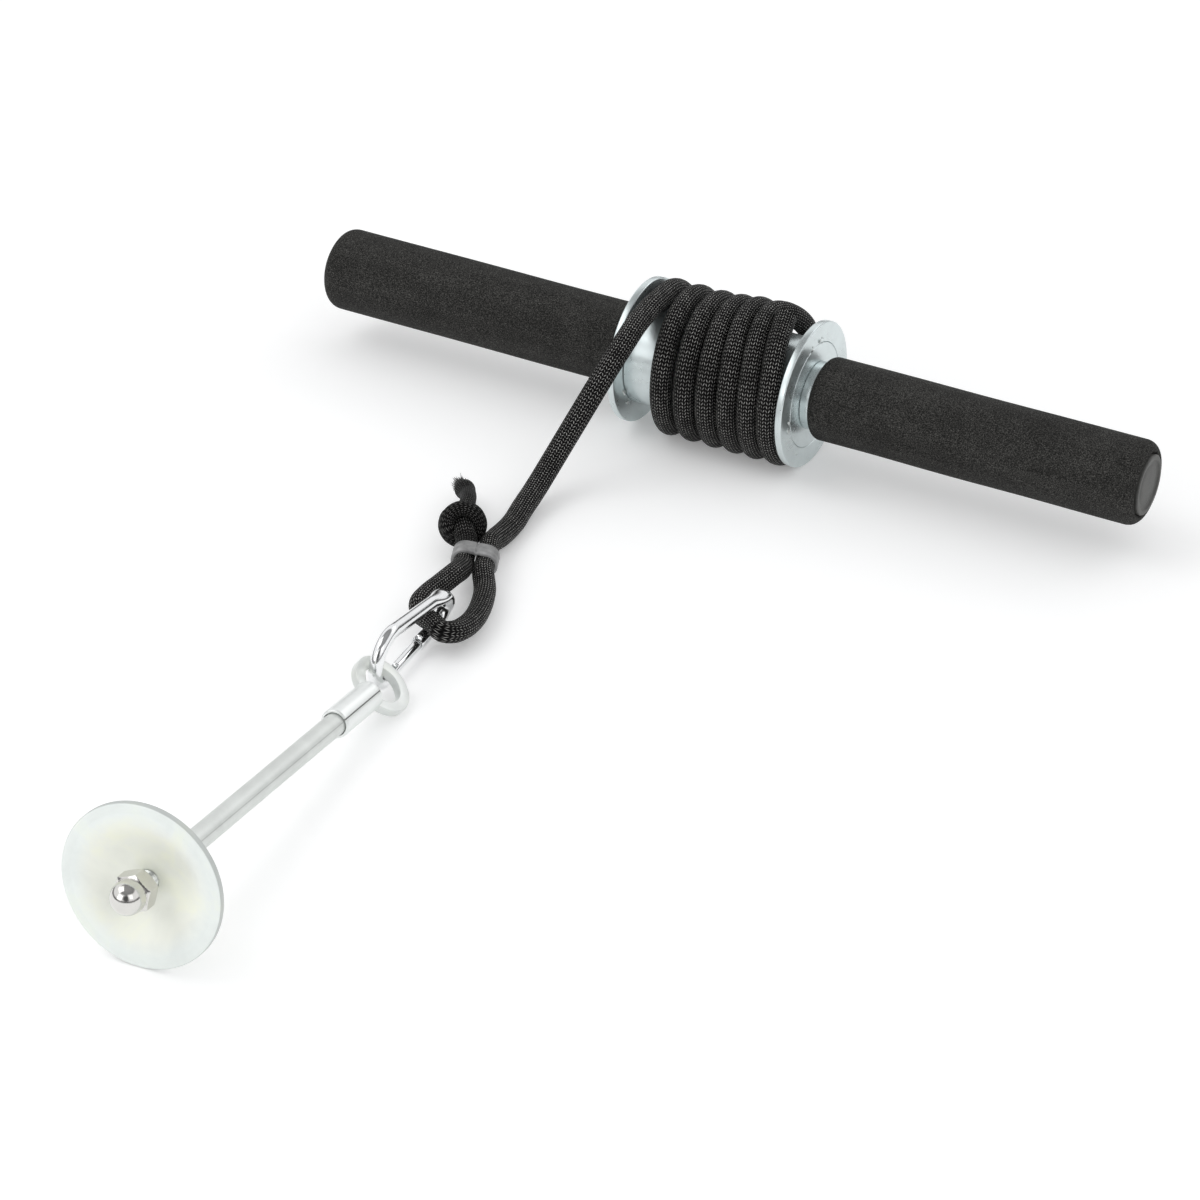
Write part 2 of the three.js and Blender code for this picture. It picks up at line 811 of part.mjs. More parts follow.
function dish(face) {
  return Array.from({ length: dishSteps + 1 }, (_, i) => {
    const share = i / dishSteps;
    const sink = (1 + cos(PI * share)) / 2;
    return [discHub + (dishOuter - discHub) * share, face - discDepth * sink];
  });
}
const studHole = studRadius + clearance;
const discRound = discThickness / 2;
const disc = turned(
  [
    [studHole, hubFace],
    ...dish(discBandFace),
    ...arc(discRadius - discRound / 2, discBandFace + discRound / 2, discRound / 2, -90, 0, 2),
    ...arc(discRadius - discRound / 2, discDistance - discRound / 2, discRound / 2, 0, 90, 2),
    ...dish(discDistance).reverse(),
    [studHole, discHubTop],
  ],
  roundSteps,
);
add(eye, "plate_disc", disc, brightZinc());

// Dome nut: a hexagon under a ball end, with a blind hole
const nutCorner = nutAcross / 2 / cos(30 * degree);
const hexagon = new THREE.ExtrudeGeometry(ngon(nutCorner, 6), {
  depth: nutHexHeight,
  bevelEnabled: false,
});
const nutBevelBody = turned(
  [
    [0, nutStart],
    [nutCorner - nutBevel, nutStart],
    [nutCorner, nutStart + nutBevel / 2],
    [nutCorner, nutStart + nutHexHeight - nutBevel / 2],
    [nutCorner - nutBevel, nutStart + nutHexHeight],
    [0, nutStart + nutHexHeight],
  ],
  smallSteps,
);
const hexPlace = new THREE.Matrix4().makeRotationX(-quarter).setPosition(0, nutStart, 0);
const domeBase = nutHeight - nutDomeRadius;
const dome = turned(
  [
    [0, nutStart + nutHexHeight - clearance],
    [nutDomeRadius, nutStart + nutHexHeight - clearance],
    ...arc(0, nutStart + domeBase, nutDomeRadius, 0, 75, 5),
    [0, nutStart + nutHeight],
  ],
  smallSteps,
);
const nut = solid(hexagon, hexPlace)
  .intersect(solid(nutBevelBody))
  .add(solid(dome))
  .subtract(solid(rod(studHole, nutStart - overrun, studEnd + clearance)));
add(eye, "dome_nut", geometryOf(nut), chrome());

export default model;
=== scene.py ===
"""Wrist roller: the looks of its pieces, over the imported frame.

Shapes are written in millimetres, in the row frame: the floor is Z = 0, the bar lies along X and
the rope runs out along -Y. They become metres when their mesh is made.
"""
import math

import bmesh
import bpy
import numpy as np
from mathutils import Matrix

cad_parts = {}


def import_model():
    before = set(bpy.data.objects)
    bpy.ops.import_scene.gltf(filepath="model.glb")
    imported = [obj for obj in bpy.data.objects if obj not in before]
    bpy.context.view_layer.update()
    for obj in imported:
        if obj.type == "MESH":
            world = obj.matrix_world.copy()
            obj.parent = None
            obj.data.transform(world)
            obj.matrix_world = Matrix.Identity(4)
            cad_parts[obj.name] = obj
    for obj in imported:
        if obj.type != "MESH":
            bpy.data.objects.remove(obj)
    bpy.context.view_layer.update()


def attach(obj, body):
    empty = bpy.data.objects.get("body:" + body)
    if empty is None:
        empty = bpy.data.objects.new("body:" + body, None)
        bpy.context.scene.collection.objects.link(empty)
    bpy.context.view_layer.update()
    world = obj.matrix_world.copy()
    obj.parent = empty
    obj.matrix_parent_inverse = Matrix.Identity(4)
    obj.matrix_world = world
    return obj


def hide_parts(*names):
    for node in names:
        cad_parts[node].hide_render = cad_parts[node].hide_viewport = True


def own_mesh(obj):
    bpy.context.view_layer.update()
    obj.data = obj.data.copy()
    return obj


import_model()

MM = 0.001
DEGREE = math.pi / 180
scene = bpy.context.scene
scene.view_settings.view_transform = "Standard"

# Sizes, as in the part's source
CLEARANCE = 0.3
BAR_RADIUS = 12.5
BAR_WALL = 1.8
GRIP_RADIUS = 17.5
GRIP_START = 44.2
GRIP_END = 187.2
GRIP_OUTER_ROUND = 5.5
GRIP_INNER_ROUND = 3
CAP_HEAD = 2.4
SPOOL_HALF = 40
DRUM_RADIUS = 22.25
DRUM_WALL = 2
FLANGE_RADIUS = 30.95
FLANGE_THICKNESS = 3
HUB_RADIUS = 14.35
ROPE_DIAMETER = 9.3
ROPE_RADIUS = ROPE_DIAMETER / 2
ROPE_TO_DRUM = 0.5
WOUND_RADIUS = DRUM_RADIUS + ROPE_TO_DRUM + ROPE_RADIUS
PRESSED_SHARE = 0.8  # of the rope's radius, left under the turns by the floor
BAR_HEIGHT = WOUND_RADIUS + PRESSED_SHARE * ROPE_RADIUS
DRUM_END_INNER = SPOOL_HALF - FLANGE_THICKNESS
WHOLE_TURNS = 6
LAST_TURN_SHORTFALL = 0.05
WOUND_TURNS = WHOLE_TURNS - LAST_TURN_SHORTFALL
FIRST_TURN_INSET = 8.6
FIRST_TURN_X = FIRST_TURN_INSET - DRUM_END_INNER
TURN_PITCH = 11.15
PITCH_LOSS = 0.224
TURN_SWAY = 4
SWAY_PHASE = 28 * DEGREE
CREST_LEAN = 2.6
CREST_LIFT = 2.9
CROSSING_SWING = 6.5
LOOP_RADIUS = 3.9
STRAND_SPACING = 2 * LOOP_RADIUS + 2 * CLEARANCE
CLAMP_LENGTH = 8.2
CLAMP_WALL = 1.1
EYE_INNER, EYE_OUTER, EYE_THICKNESS = 8, 12.4, 3.5
FERRULE_RADIUS, FERRULE_BORE = 5.65, 4.65
FERRULE_START, FERRULE_END = 9, 38
SHOULDER_LENGTH = 3
MOUTH_DEPTH = 3
COLLAR_LENGTH = 4
COLLAR_TIP = 1.2
ROD_ENTER = 2.4
NECK_RADIUS = 3.2
ROD_RADIUS = 4.25
DISC_DISTANCE = 182.4
DISC_RADIUS = 30.3
DISC_THICKNESS = 2.6
DISC_BAND = 5
DISC_DEPTH = 5.6
DISC_HUB = 8.5
STUD_RADIUS = 3.9
NUT_ACROSS = 13
NUT_HEX_HEIGHT = 6.5
NUT_HEIGHT = 15
NUT_DOME_RADIUS = 6.1
NUT_STANDOFF = 5.5
HOOK_LENGTH = 68.4
HOOK_WIRE = 5.4
HOOK_BROAD, HOOK_NARROW = 10.6, 5.9
GATE_DIAMETER = 4.2
GATE_HINGE = 6.6
GATE_TIP = 28
TONGUE_LENGTH = 2
GATE_PIN_RADIUS = 0.8
TANG_THICKNESS = 1.9


# Vectors and frames


def vec(*xyz):
    return np.array(xyz, float)


def unit(v):
    return v / np.linalg.norm(v)


UP = vec(0, 0, 1)


class Frame:
    """A place with X and Y directions. Z follows from them."""

    def __init__(self, place, x, y):
        self.place = place
        self.x, self.y = unit(x), unit(y)
        self.z = np.cross(self.x, self.y)

    def point(self, x, y, z):
        return self.place + x * self.x + y * self.y + z * self.z


def at(turn, dip):
    """A direction near -Y, turned about Z and raised."""
    return vec(math.sin(turn) * math.cos(dip), -math.cos(turn) * math.cos(dip), math.sin(dip))


# The roller's two ends: Y runs out along the bar, X is up
ROLLER_ENDS = {
    "right": Frame(vec(0, 0, BAR_HEIGHT), UP, vec(1, 0, 0)),
    "left": Frame(vec(0, 0, BAR_HEIGHT), UP, vec(-1, 0, 0)),
}

# Strands through the clamp
CLAMP_TURN, CLAMP_LEAN = 23 * DEGREE, 8 * DEGREE
CLAMP_PLACE = vec(-30.4, -155, 8.6)
STRAND_ALONG = at(CLAMP_TURN, 0)
CLAMP_ACROSS = vec(
    math.cos(CLAMP_TURN) * math.cos(CLAMP_LEAN),
    math.sin(CLAMP_TURN) * math.cos(CLAMP_LEAN),
    -math.sin(CLAMP_LEAN),
)
CLAMP = Frame(CLAMP_PLACE, CLAMP_ACROSS, STRAND_ALONG)


def strand_point(side, along):
    return CLAMP.point(side * STRAND_SPACING / 2, along, 0)


# Hook: X runs from the broad bend to the narrow one, Y from the gate to the spine
HOOK_TURN, HOOK_DIP, HOOK_LEAN = 6.3 * DEGREE, 5.65 * DEGREE, 6.4 * DEGREE
hook_along = -at(HOOK_TURN, HOOK_DIP)
hook_level = vec(math.cos(HOOK_TURN), math.sin(HOOK_TURN), 0)
hook_up = np.cross(hook_level, hook_along) * math.cos(HOOK_LEAN) + hook_level * math.sin(HOOK_LEAN)
HOOK = Frame(vec(-15.8, -245.7, 15.2), hook_along, hook_up)
BEND_SPACING = HOOK_LENGTH - HOOK_WIRE - HOOK_BROAD - HOOK_NARROW
TAPER = math.asin((HOOK_BROAD - HOOK_NARROW) / BEND_SPACING)
hook_inside = 2 * LOOP_RADIUS + HOOK_WIRE + 2 * CLEARANCE
ROPE_IN_HOOK = (HOOK_BROAD / math.cos(TAPER) - hook_inside / 2) / math.tan(TAPER)
LOOP_SKEW = 28 * DEGREE


def across_hook(distance):
    """The rope's line where it lies aslant across the hook."""
    return HOOK.point(
        ROPE_IN_HOOK - distance * math.sin(LOOP_SKEW), 0, distance * math.cos(LOOP_SKEW)
    )


# Load pin: Y runs from the eye's centre along the rod, Z is the ring's normal
PIN_TURN, EYE_ROLL = 4.93 * DEGREE, 39 * DEGREE
EYE_PLACE = vec(-12.25, -256.8, 9.37)
BAND_FACE = DISC_DISTANCE - DISC_THICKNESS
pin_dip = math.acos(EYE_PLACE[2] / math.hypot(DISC_RADIUS, BAND_FACE)) - math.atan2(
    BAND_FACE, DISC_RADIUS
)
pin_along = at(PIN_TURN, pin_dip)
pin_level = unit(np.cross(UP, pin_along))
pin_up = np.cross(pin_along, pin_level)
eye_normal = pin_level * math.sin(EYE_ROLL) + pin_up * math.cos(EYE_ROLL)
EYE = Frame(EYE_PLACE, np.cross(pin_along, eye_normal), pin_along)


# Camera

CAMERA_PLACE = vec(672.37, -1394.69, 823.56)
CAMERA_YAW, CAMERA_PITCH, CAMERA_ROLL = 27.57 * DEGREE, 30.29 * DEGREE, 1.89 * DEGREE
CAMERA_LENS, CAMERA_SENSOR = 126.03, 36


def posed(piece, columns, place):
    """Puts an object at a place in metres, with its axes along the columns."""
    turn = Matrix([[column[i] for column in columns] for i in range(3)]).to_4x4()
    piece.matrix_world = Matrix.Translation(place) @ turn
    scene.collection.objects.link(piece)


def make_camera():
    """The camera, where the photograph was taken from."""
    data = bpy.data.cameras.new("camera")
    data.sensor_width = CAMERA_SENSOR
    data.lens = CAMERA_LENS
    data.clip_end = 20
    camera = bpy.data.objects.new("camera", data)
    forward = vec(
        -math.sin(CAMERA_YAW) * math.cos(CAMERA_PITCH),
        math.cos(CAMERA_YAW) * math.cos(CAMERA_PITCH),
        -math.sin(CAMERA_PITCH),
    )
    right = vec(math.cos(CAMERA_YAW), math.sin(CAMERA_YAW), 0)
    up = np.cross(right, forward)
    cosine, sine = math.cos(CAMERA_ROLL), math.sin(CAMERA_ROLL)
    columns = (cosine * right + sine * up, -sine * right + cosine * up, -forward)
    posed(camera, columns, CAMERA_PLACE * MM)
    scene.camera = camera


make_camera()


# Mesh helpers


def finish_mesh(name, bm, sharp=40):
    """A smooth-shaded object from a bmesh in millimetres, with edges over the angle kept sharp."""
    bmesh.ops.recalc_face_normals(bm, faces=bm.faces)
    for face in bm.faces:
        face.smooth = True
    for edge in bm.edges:
        if len(edge.link_faces) == 2 and edge.calc_face_angle(0) > sharp * DEGREE:
            edge.smooth = False
    bmesh.ops.scale(bm, vec=(MM, MM, MM), verts=bm.verts)
    mesh = bpy.data.meshes.new(name)
    bm.to_mesh(mesh)
    bm.free()
    piece = bpy.data.objects.new(name, mesh)
    scene.collection.objects.link(piece)
    return piece


def skinned(name, rings, u, sharp, closed=False, caps=False):
    """A piece over rings of points. UV: U is the given length of each ring, V goes round."""
    bm = bmesh.new()
    uv = bm.loops.layers.uv.new("UVMap")
    rows = [[bm.verts.new(p) for p in ring] for ring in rings]
    count = len(rows[0])

    def add(corners, spots):
        face = bm.faces.new(corners)
        for loop, (along, around) in zip(face.loops, spots):
            loop[uv].uv = (along * MM, around / count)

    for i in range(len(rows) if closed else len(rows) - 1):
        low, high = rows[i], rows[(i + 1) % len(rows)]
        end = u[i + 1] if i + 1 < len(u) else u[i]
        for j in range(count):
            k = (j + 1) % count
            spots = ((u[i], j), (u[i], j + 1), (end, j + 1), (end, j))
            add((low[j], low[k], high[k], high[j]), spots)
    if caps:
        for row, at_u, sign in ((rows[0], u[0], -1), (rows[-1], u[-1], 1)):
            middle = bm.verts.new(sum((v.co for v in row[1:]), row[0].co.copy()) / count)
            radius = (row[0].co - middle.co).length
            for j in range(count):
                spots = ((at_u, j), (at_u, j + 1), (at_u + sign * radius, j + 0.5))
                add((row[j], row[(j + 1) % count], middle), spots)
    bmesh.ops.remove_doubles(bm, verts=bm.verts, dist=1e-4)
    return finish_mesh(name, bm, sharp)


def arc(radius, height, round_, start, end, steps=5):
    """A round in an outline of [radius, height] points, between two angles in degrees."""
    angles = [math.radians(start + (end - start) * i / steps) for i in range(steps + 1)]
    return [[radius + round_ * math.cos(a), height + round_ * math.sin(a)] for a in angles]


def finely(points, step):
    """The outline with points added so that none are further apart than a step."""
    dense = [points[0]]
    for before, after in zip(points, points[1:]):
        before, after = np.array(before, float), np.array(after, float)
        count = max(1, math.ceil(np.linalg.norm(after - before) / step))
        dense += [list(before + (after - before) * i / count) for i in range(1, count + 1)]
    return dense


def round_angles(steps):
    return 2 * math.pi * np.arange(steps) / steps


def ring_round(place, height, radii):
    """A ring of points round a frame's Y, each at its own radius."""
    angles = round_angles(len(radii))
    spokes = np.cos(angles)[:, None] * place.x + np.sin(angles)[:, None] * place.z
    return place.place + height * place.y + radii[:, None] * spokes


ON_AXIS = 1e-6  # mm: a smaller radius is on the axis


def turned(name, outline, place, steps=96, sharp=35, ripple=None):
    """A turned piece about a frame's Y. An outline that starts off the axis is closed on itself.

    ripple(angles, radius, height) gives what is added to the radius.
    """
    rings = []
    for radius, height in outline:
        radii = np.full(steps, float(radius))
        if ripple is not None and radius > ON_AXIS:
            radii += ripple(round_angles(steps), radius, height)
        rings.append(ring_round(place, height, radii))
    closed = outline[0][0] > ON_AXIS
    return skinned(name, rings, lengths_of(outline), sharp, closed=closed)


def spline(points, step=1.0):
    """Points along a centripetal Catmull-Rom curve, evenly spaced."""
    p = [np.array(q, float) for q in points]
    p = [2 * p[0] - p[1]] + p + [2 * p[-1] - p[-2]]
    dense = []
    for p0, p1, p2, p3 in zip(p, p[1:], p[2:], p[3:]):
        d01, d12, d23 = (
            max(1e-6, np.linalg.norm(b - a) ** 0.5) for a, b in ((p0, p1), (p1, p2), (p2, p3))
        )
        m1 = d12 * ((p1 - p0) / d01 - (p2 - p0) / (d01 + d12) + (p2 - p1) / d12)
        m2 = d12 * ((p2 - p1) / d12 - (p3 - p1) / (d12 + d23) + (p3 - p2) / d23)
        for t in np.arange(0, 1, 0.02):
            dense.append(
                p1
                + m1 * t
                + (3 * (p2 - p1) - 2 * m1 - m2) * t**2
                + (2 * (p1 - p2) + m1 + m2) * t**3
            )
    dense.append(p[-2])
    return even(np.array(dense), step)


def lengths_of(path):
    """How far along the line each of its points lies."""
    gaps = np.diff(np.asarray(path, float), axis=0)
    return np.concatenate(([0], np.cumsum(np.linalg.norm(gaps, axis=1))))


def even(path, step):
    """The same line with evenly spaced points."""
    along = lengths_of(path)
    count = max(2, round(along[-1] / step))
    places = np.linspace(0, along[-1], count + 1)
    return np.stack([np.interp(places, along, path[:, i]) for i in range(3)], axis=1)


def directions(path):
    ahead = np.gradient(path, axis=0)
    return ahead / np.linalg.norm(ahead, axis=1)[:, None]


def carried(path, first):
    """A normal at each point of a path, carried along it without twist from the first one."""
    ahead = directions(path)
    normal = unit(first - ahead[0] * np.dot(first, ahead[0]))
    normals = [normal]
    for direction in ahead[1:]:
        normal = unit(normal - direction * np.dot(normal, direction))
        normals.append(normal)
    return np.array(normals)


def tube_rings(path, radii, normals, sides):
    """Rings round a path. Each point has one radius, or a pair: along its normal, and across."""
    ahead = directions(path)
    across = np.cross(ahead, normals)
    angles = round_angles(sides)
    radii = np.asarray(radii, float)
    if radii.ndim == 1:
        radii = np.stack([radii, radii], axis=1)
    return (
        path[:, None, :]
        + radii[:, 0, None, None] * np.cos(angles)[None, :, None] * normals[:, None, :]
        + radii[:, 1, None, None] * np.sin(angles)[None, :, None] * across[:, None, :]
    )


def between(value, low, high):
    """0 below low, 1 above high, and smooth between them."""
    t = np.clip((np.asarray(value, float) - low) / (high - low), 0, 1)
    return t * t * (3 - 2 * t)


def cut(piece, *cutters):
    """Takes the cutters' solids out of a piece, and removes them."""
    for cutter in cutters:
        modifier = piece.modifiers.new("cut", "BOOLEAN")
        modifier.operation = "DIFFERENCE"
        modifier.solver = "EXACT"
        modifier.object = cutter
        bpy.context.view_layer.update()
        result = bpy.data.meshes.new_from_object(
            piece.evaluated_get(bpy.context.evaluated_depsgraph_get())
        )
        piece.modifiers.clear()
        piece.data = result
        bpy.data.objects.remove(cutter)
    return piece


def block(name, place, size):
    """A box centred on a frame."""
    bm = bmesh.new()
    corners = [
        bm.verts.new(place.point(*(s * d / 2 for s, d in zip(signs, size))))
        for signs in [(x, y, z) for x in (-1, 1) for y in (-1, 1) for z in (-1, 1)]
    ]
    sides = ((0, 1, 3, 2), (4, 6, 7, 5), (0, 4, 5, 1), (2, 3, 7, 6), (0, 2, 6, 4), (1, 5, 7, 3))
    for side in sides:
        bm.faces.new([corners[i] for i in side])
    return finish_mesh(name, bm)


def soften(piece, width, segments=2):
    """Rounds a piece's sharp edges."""
    modifier = piece.modifiers.new("round", "BEVEL")
    modifier.width = width * MM
    modifier.segments = segments
    modifier.limit_method = "ANGLE"
    modifier.angle_limit = 40 * DEGREE
    modifier.harden_normals = True
    return piece


# Materials


class Nodes:
    """A node tree, with short ways to add to it."""

    def __init__(self, tree):
        self.tree = tree

    def node(self, kind, inputs=None, **settings):
        made = self.tree.nodes.new("ShaderNode" + kind)
        for key, value in settings.items():
            setattr(made, key, value)
        for key, value in (inputs or {}).items():
            self.feed(made.inputs[key], value)
        return made

    def feed(self, socket, value):
        if isinstance(value, bpy.types.NodeSocket):
            self.tree.links.new(value, socket)
        else:
            socket.default_value = value

    def maths(self, operation, *values):
        return self.node("Math", dict(enumerate(values)), operation=operation).outputs[0]

    def noise(self, vector, scale, detail=3, rough=0.5, distortion=0):
        inputs = {"Vector": vector, "Scale": scale, "Detail": detail, "Roughness": rough}
        inputs["Distortion"] = distortion
        return self.node("TexNoise", inputs).outputs["Fac"]

    def ramp(self, value, *stops):
        """Colours along a value. Each stop is its place and its colour or grey."""
        made = self.node("ValToRGB", {"Fac": value})
        elements = made.color_ramp.elements
        while len(elements) < len(stops):
            elements.new(0.5)
        for element, (place, colour) in zip(elements, stops):
            element.position = place
            element.color = (*colour, 1) if hasattr(colour, "__len__") else (*[colour] * 3, 1)
        return made.outputs["Color"]

    def mixed(self, share, one, other, blend="MIX"):
        """Two colours in one. The share is the second one's."""
        inputs = {"Factor": share, "A": one, "B": other}
        return self.node("Mix", inputs, data_type="RGBA", blend_type=blend).outputs["Result"]

    def multiplied(self, one, other):
        return self.mixed(1.0, one, other, "MULTIPLY")

    def scaled(self, vector, *factors):
        return self.node("VectorMath", {0: vector, 1: factors}, operation="MULTIPLY").outputs[0]


class Look(Nodes):
    """A Principled material and the nodes that feed it."""

    def __init__(self, name, **values):
        self.material = bpy.data.materials.new(name)
        self.material.use_nodes = True
        super().__init__(self.material.node_tree)
        self.finish(**values)

    def bump(self, height, distance, strength=1, normal=None):
        inputs = {"Height": height, "Distance": distance * MM, "Strength": strength}
        if normal is not None:
            inputs["Normal"] = normal
        return self.node("Bump", inputs).outputs["Normal"]

    def object_place(self):
        return self.node("TexCoord").outputs["Object"]

    def uv(self):
        split = self.node("SeparateXYZ", {0: self.node("TexCoord").outputs["UV"]})
        return split.outputs["X"], split.outputs["Y"]

    def finish(self, **links):
        """Feeds the shader's inputs, and gives the material."""
        shader = self.tree.nodes["Principled BSDF"]
        for socket, value in links.items():
            self.feed(shader.inputs[socket.replace("_", " ")], value)
        return self.material


BRAID_COLUMNS = 26  # half columns round the rope, slanting one way and the other
BRAID_ROW = 1.45  # mm along the rope


def rope_look(name, glint_brightness):
    """Braided cover: rows of slanted stitches that make Vs along the rope, with painted glints on
    their crests and painted shade between them.
    """
    look = Look(name, Roughness=0.55, Specular_IOR_Level=0.1)
    along, around = look.uv()
    column = look.maths("MULTIPLY", around, BRAID_COLUMNS)
    which = look.maths("FLOOR", column)
    over = look.maths("FRACT", column)
    parity = look.maths("MODULO", look.maths("ADD", which, 1000), 2)
    side = look.maths("MULTIPLY_ADD", parity, -2, 1)
    slant = look.maths("MULTIPLY", look.maths("SUBTRACT", over, 0.5), side)
    row = look.maths("MULTIPLY_ADD", along, 1 / (BRAID_ROW * MM), slant)
    step = look.maths("FRACT", row)
    number = look.maths("FLOOR", row)

    def arch(value, power):
        middle = look.maths("MULTIPLY", value, look.maths("SUBTRACT", 1, value))
        return look.maths("POWER", look.maths("MULTIPLY", middle, 4), power)

    height = look.maths("MULTIPLY", arch(over, 0.5), arch(step, 1.1))
    spot = look.node("CombineXYZ", {"X": number, "Y": which})
    chance = look.node("TexWhiteNoise", {"Vector": spot.outputs[0]}, noise_dimensions="3D")
    shade = look.maths("MULTIPLY_ADD", chance.outputs["Value"], 0.14, 0.88)
    place = look.object_place()
    # Painted light: stitch crests are painted bright as glints, and the gaps between stitches near
    # black as shade.
    stitch_glint_and_shade = look.ramp(
        look.maths("MULTIPLY", height, shade),
        (0.5, (0.0004, 0.0004, 0.0004)),
        (0.72, (0.0065, 0.0064, 0.0061)),
        (0.98, (glint_brightness, 0.985 * glint_brightness, 0.95 * glint_brightness)),
    )
    wear = look.ramp(look.noise(place, 60, 2), (0.3, 0.7), (0.7, 1.1))
    colour = look.multiplied(stitch_glint_and_shade, wear)
    hairs = look.noise(place, 2600, 2)
    relief = look.maths("MULTIPLY_ADD", hairs, 0.2, height)
    return look.finish(Base_Color=colour, Normal=look.bump(relief, 0.6, 1.0))


def foam_look():
    """Closed-cell foam: matt, with a fine open grain and faint longer marks."""
    look = Look("grip_foam", Roughness=0.8, Specular_IOR_Level=0.2)
    place = look.object_place()
    grain = look.noise(place, 2300, 2, 0.75)
    cells = look.node("TexVoronoi", {"Vector": place, "Scale": 900.0}).outputs["Distance"]
    patches = look.noise(place, 70, 4)
    streaks = look.noise(look.scaled(place, 12, 160, 160), 1, 3)
    tone = look.maths("MULTIPLY_ADD", patches, 0.08, look.maths("MULTIPLY", streaks, 0.08))
    colour = look.ramp(
        look.maths("MULTIPLY_ADD", grain, 0.84, tone),
        (0.36, (0.0015, 0.0015, 0.0014)),
        (0.5, (0.0195, 0.019, 0.0175)),
        (0.64, (0.1, 0.098, 0.092)),
    )
    relief = look.maths("MULTIPLY_ADD", cells, 0.5, grain)
    fine = look.bump(relief, 0.3, 0.9)
    return look.finish(Base_Color=colour, Normal=look.bump(patches, 0.5, 0.5, fine))


# Painted shade: how dark the disc's cut edge is made.
RIM_SHADE = 0.68  # of the disc's cut edge
BAND_TINT = (0.945, 0.98, 1.0)  # painted reflection: a bluish tint on the disc's flat band
DISH_TINT = (0.995, 1.0, 0.965)  # and a warmer tint in its dish
TINT_REACH = 25  # mm from the cut edge to the middle


def metal_look(
    name, colour, roughness, mottle=0.12, scratches=0.25, warm=0, seam=None, sheen=1, rim=None
):
    """Plated steel: cloudy plating, fine scratches, and tiny pits.

    A seam is its UV place round and its shade. A rim is its middle and half its width, in
    millimetres along; there the cut edge is darkened as painted shade, the flat band is tinted
    bluish as painted reflection, and the dish warmer.
    """
    look = Look(name, Metallic=sheen)
    place = look.object_place()
    clouds = look.noise(place, 55, 5, 0.6, 0.4)
    pits = look.noise(place, 2160, 2, 0.6)
    lines = look.noise(look.scaled(place, 900, 120, 500), 1, 2, 0.7)
    low = [c * (1 - mottle) for c in colour]
    high = [min(1, c * (1 + mottle * 0.6)) for c in colour]
    high[2] = high[2] * (1 - warm)
    shade = look.ramp(clouds, (0.3, low), (0.52, colour), (0.72, high))
    smoothest = roughness - 0.08 - scratches * 0.2
    rough = look.maths("MULTIPLY_ADD", lines, scratches * 0.4, smoothest)
    rough = look.maths("MULTIPLY_ADD", clouds, 0.16, rough)
    fine = look.bump(pits, 0.02, 0.35)
    if seam is not None:
        place_round, depth = seam
        away = look.maths("ABSOLUTE", look.maths("SUBTRACT", look.uv()[1], place_round))
        shade = look.multiplied(shade, look.ramp(away, (0.004, depth), (0.011, 1.0)))
    if rim is not None:
        middle, half = rim
        # Painted shade: the cut edge is darkened.
        away = look.maths("ABSOLUTE", look.maths("SUBTRACT", look.uv()[0], middle * MM))
        share = look.maths("DIVIDE", away, 2 * half * MM)
        shade = look.multiplied(shade, look.ramp(share, (0.45, RIM_SHADE), (0.55, 1.0)))
        # Painted reflection: bluish on the flat band, warmer towards the dish.
        inward = look.maths("DIVIDE", away, TINT_REACH * MM)
        inward = look.maths("MULTIPLY_ADD", clouds, 0.3, inward)
        shade = look.multiplied(shade, look.ramp(inward, (0.35, BAND_TINT), (0.62, DISH_TINT)))
    relief = look.bump(lines, 0.03, scratches, fine)
    return look.finish(Base_Color=shade, Roughness=rough, Normal=relief)


def plastic_look():
    """Moulded grey plastic with a spark-eroded grain."""
    look = Look("cap_plastic", Roughness=0.52)
    place = look.object_place()
    grain = look.noise(place, 1900, 3, 0.6)
    clouds = look.noise(place, 120, 4)
    tone = look.maths("MULTIPLY_ADD", grain, 0.4, look.maths("MULTIPLY", clouds, 0.6))
    colour = look.ramp(tone, (0.35, (0.038, 0.038, 0.035)), (0.65, (0.092, 0.092, 0.086)))
    rough = look.maths("MULTIPLY_ADD", clouds, 0.2, 0.42)
    return look.finish(Base_Color=colour, Roughness=rough, Normal=look.bump(grain, 0.06, 0.6))


def clamp_look():
    """Grey blackened steel band, rubbed brighter in places."""
    look = Look("clamp_steel", Metallic=0.3)
    place = look.object_place()
    clouds = look.noise(place, 260, 4, 0.6)
    lines = look.noise(look.scaled(place, 300, 2200, 2200), 1, 2, 0.6)
    colour = look.ramp(clouds, (0.3, 0.2), (0.55, 0.31), (0.75, 0.42))
    rough = look.maths("MULTIPLY_ADD", clouds, 0.25, 0.36)
    return look.finish(Base_Color=colour, Roughness=rough, Normal=look.bump(lines, 0.05, 0.5))


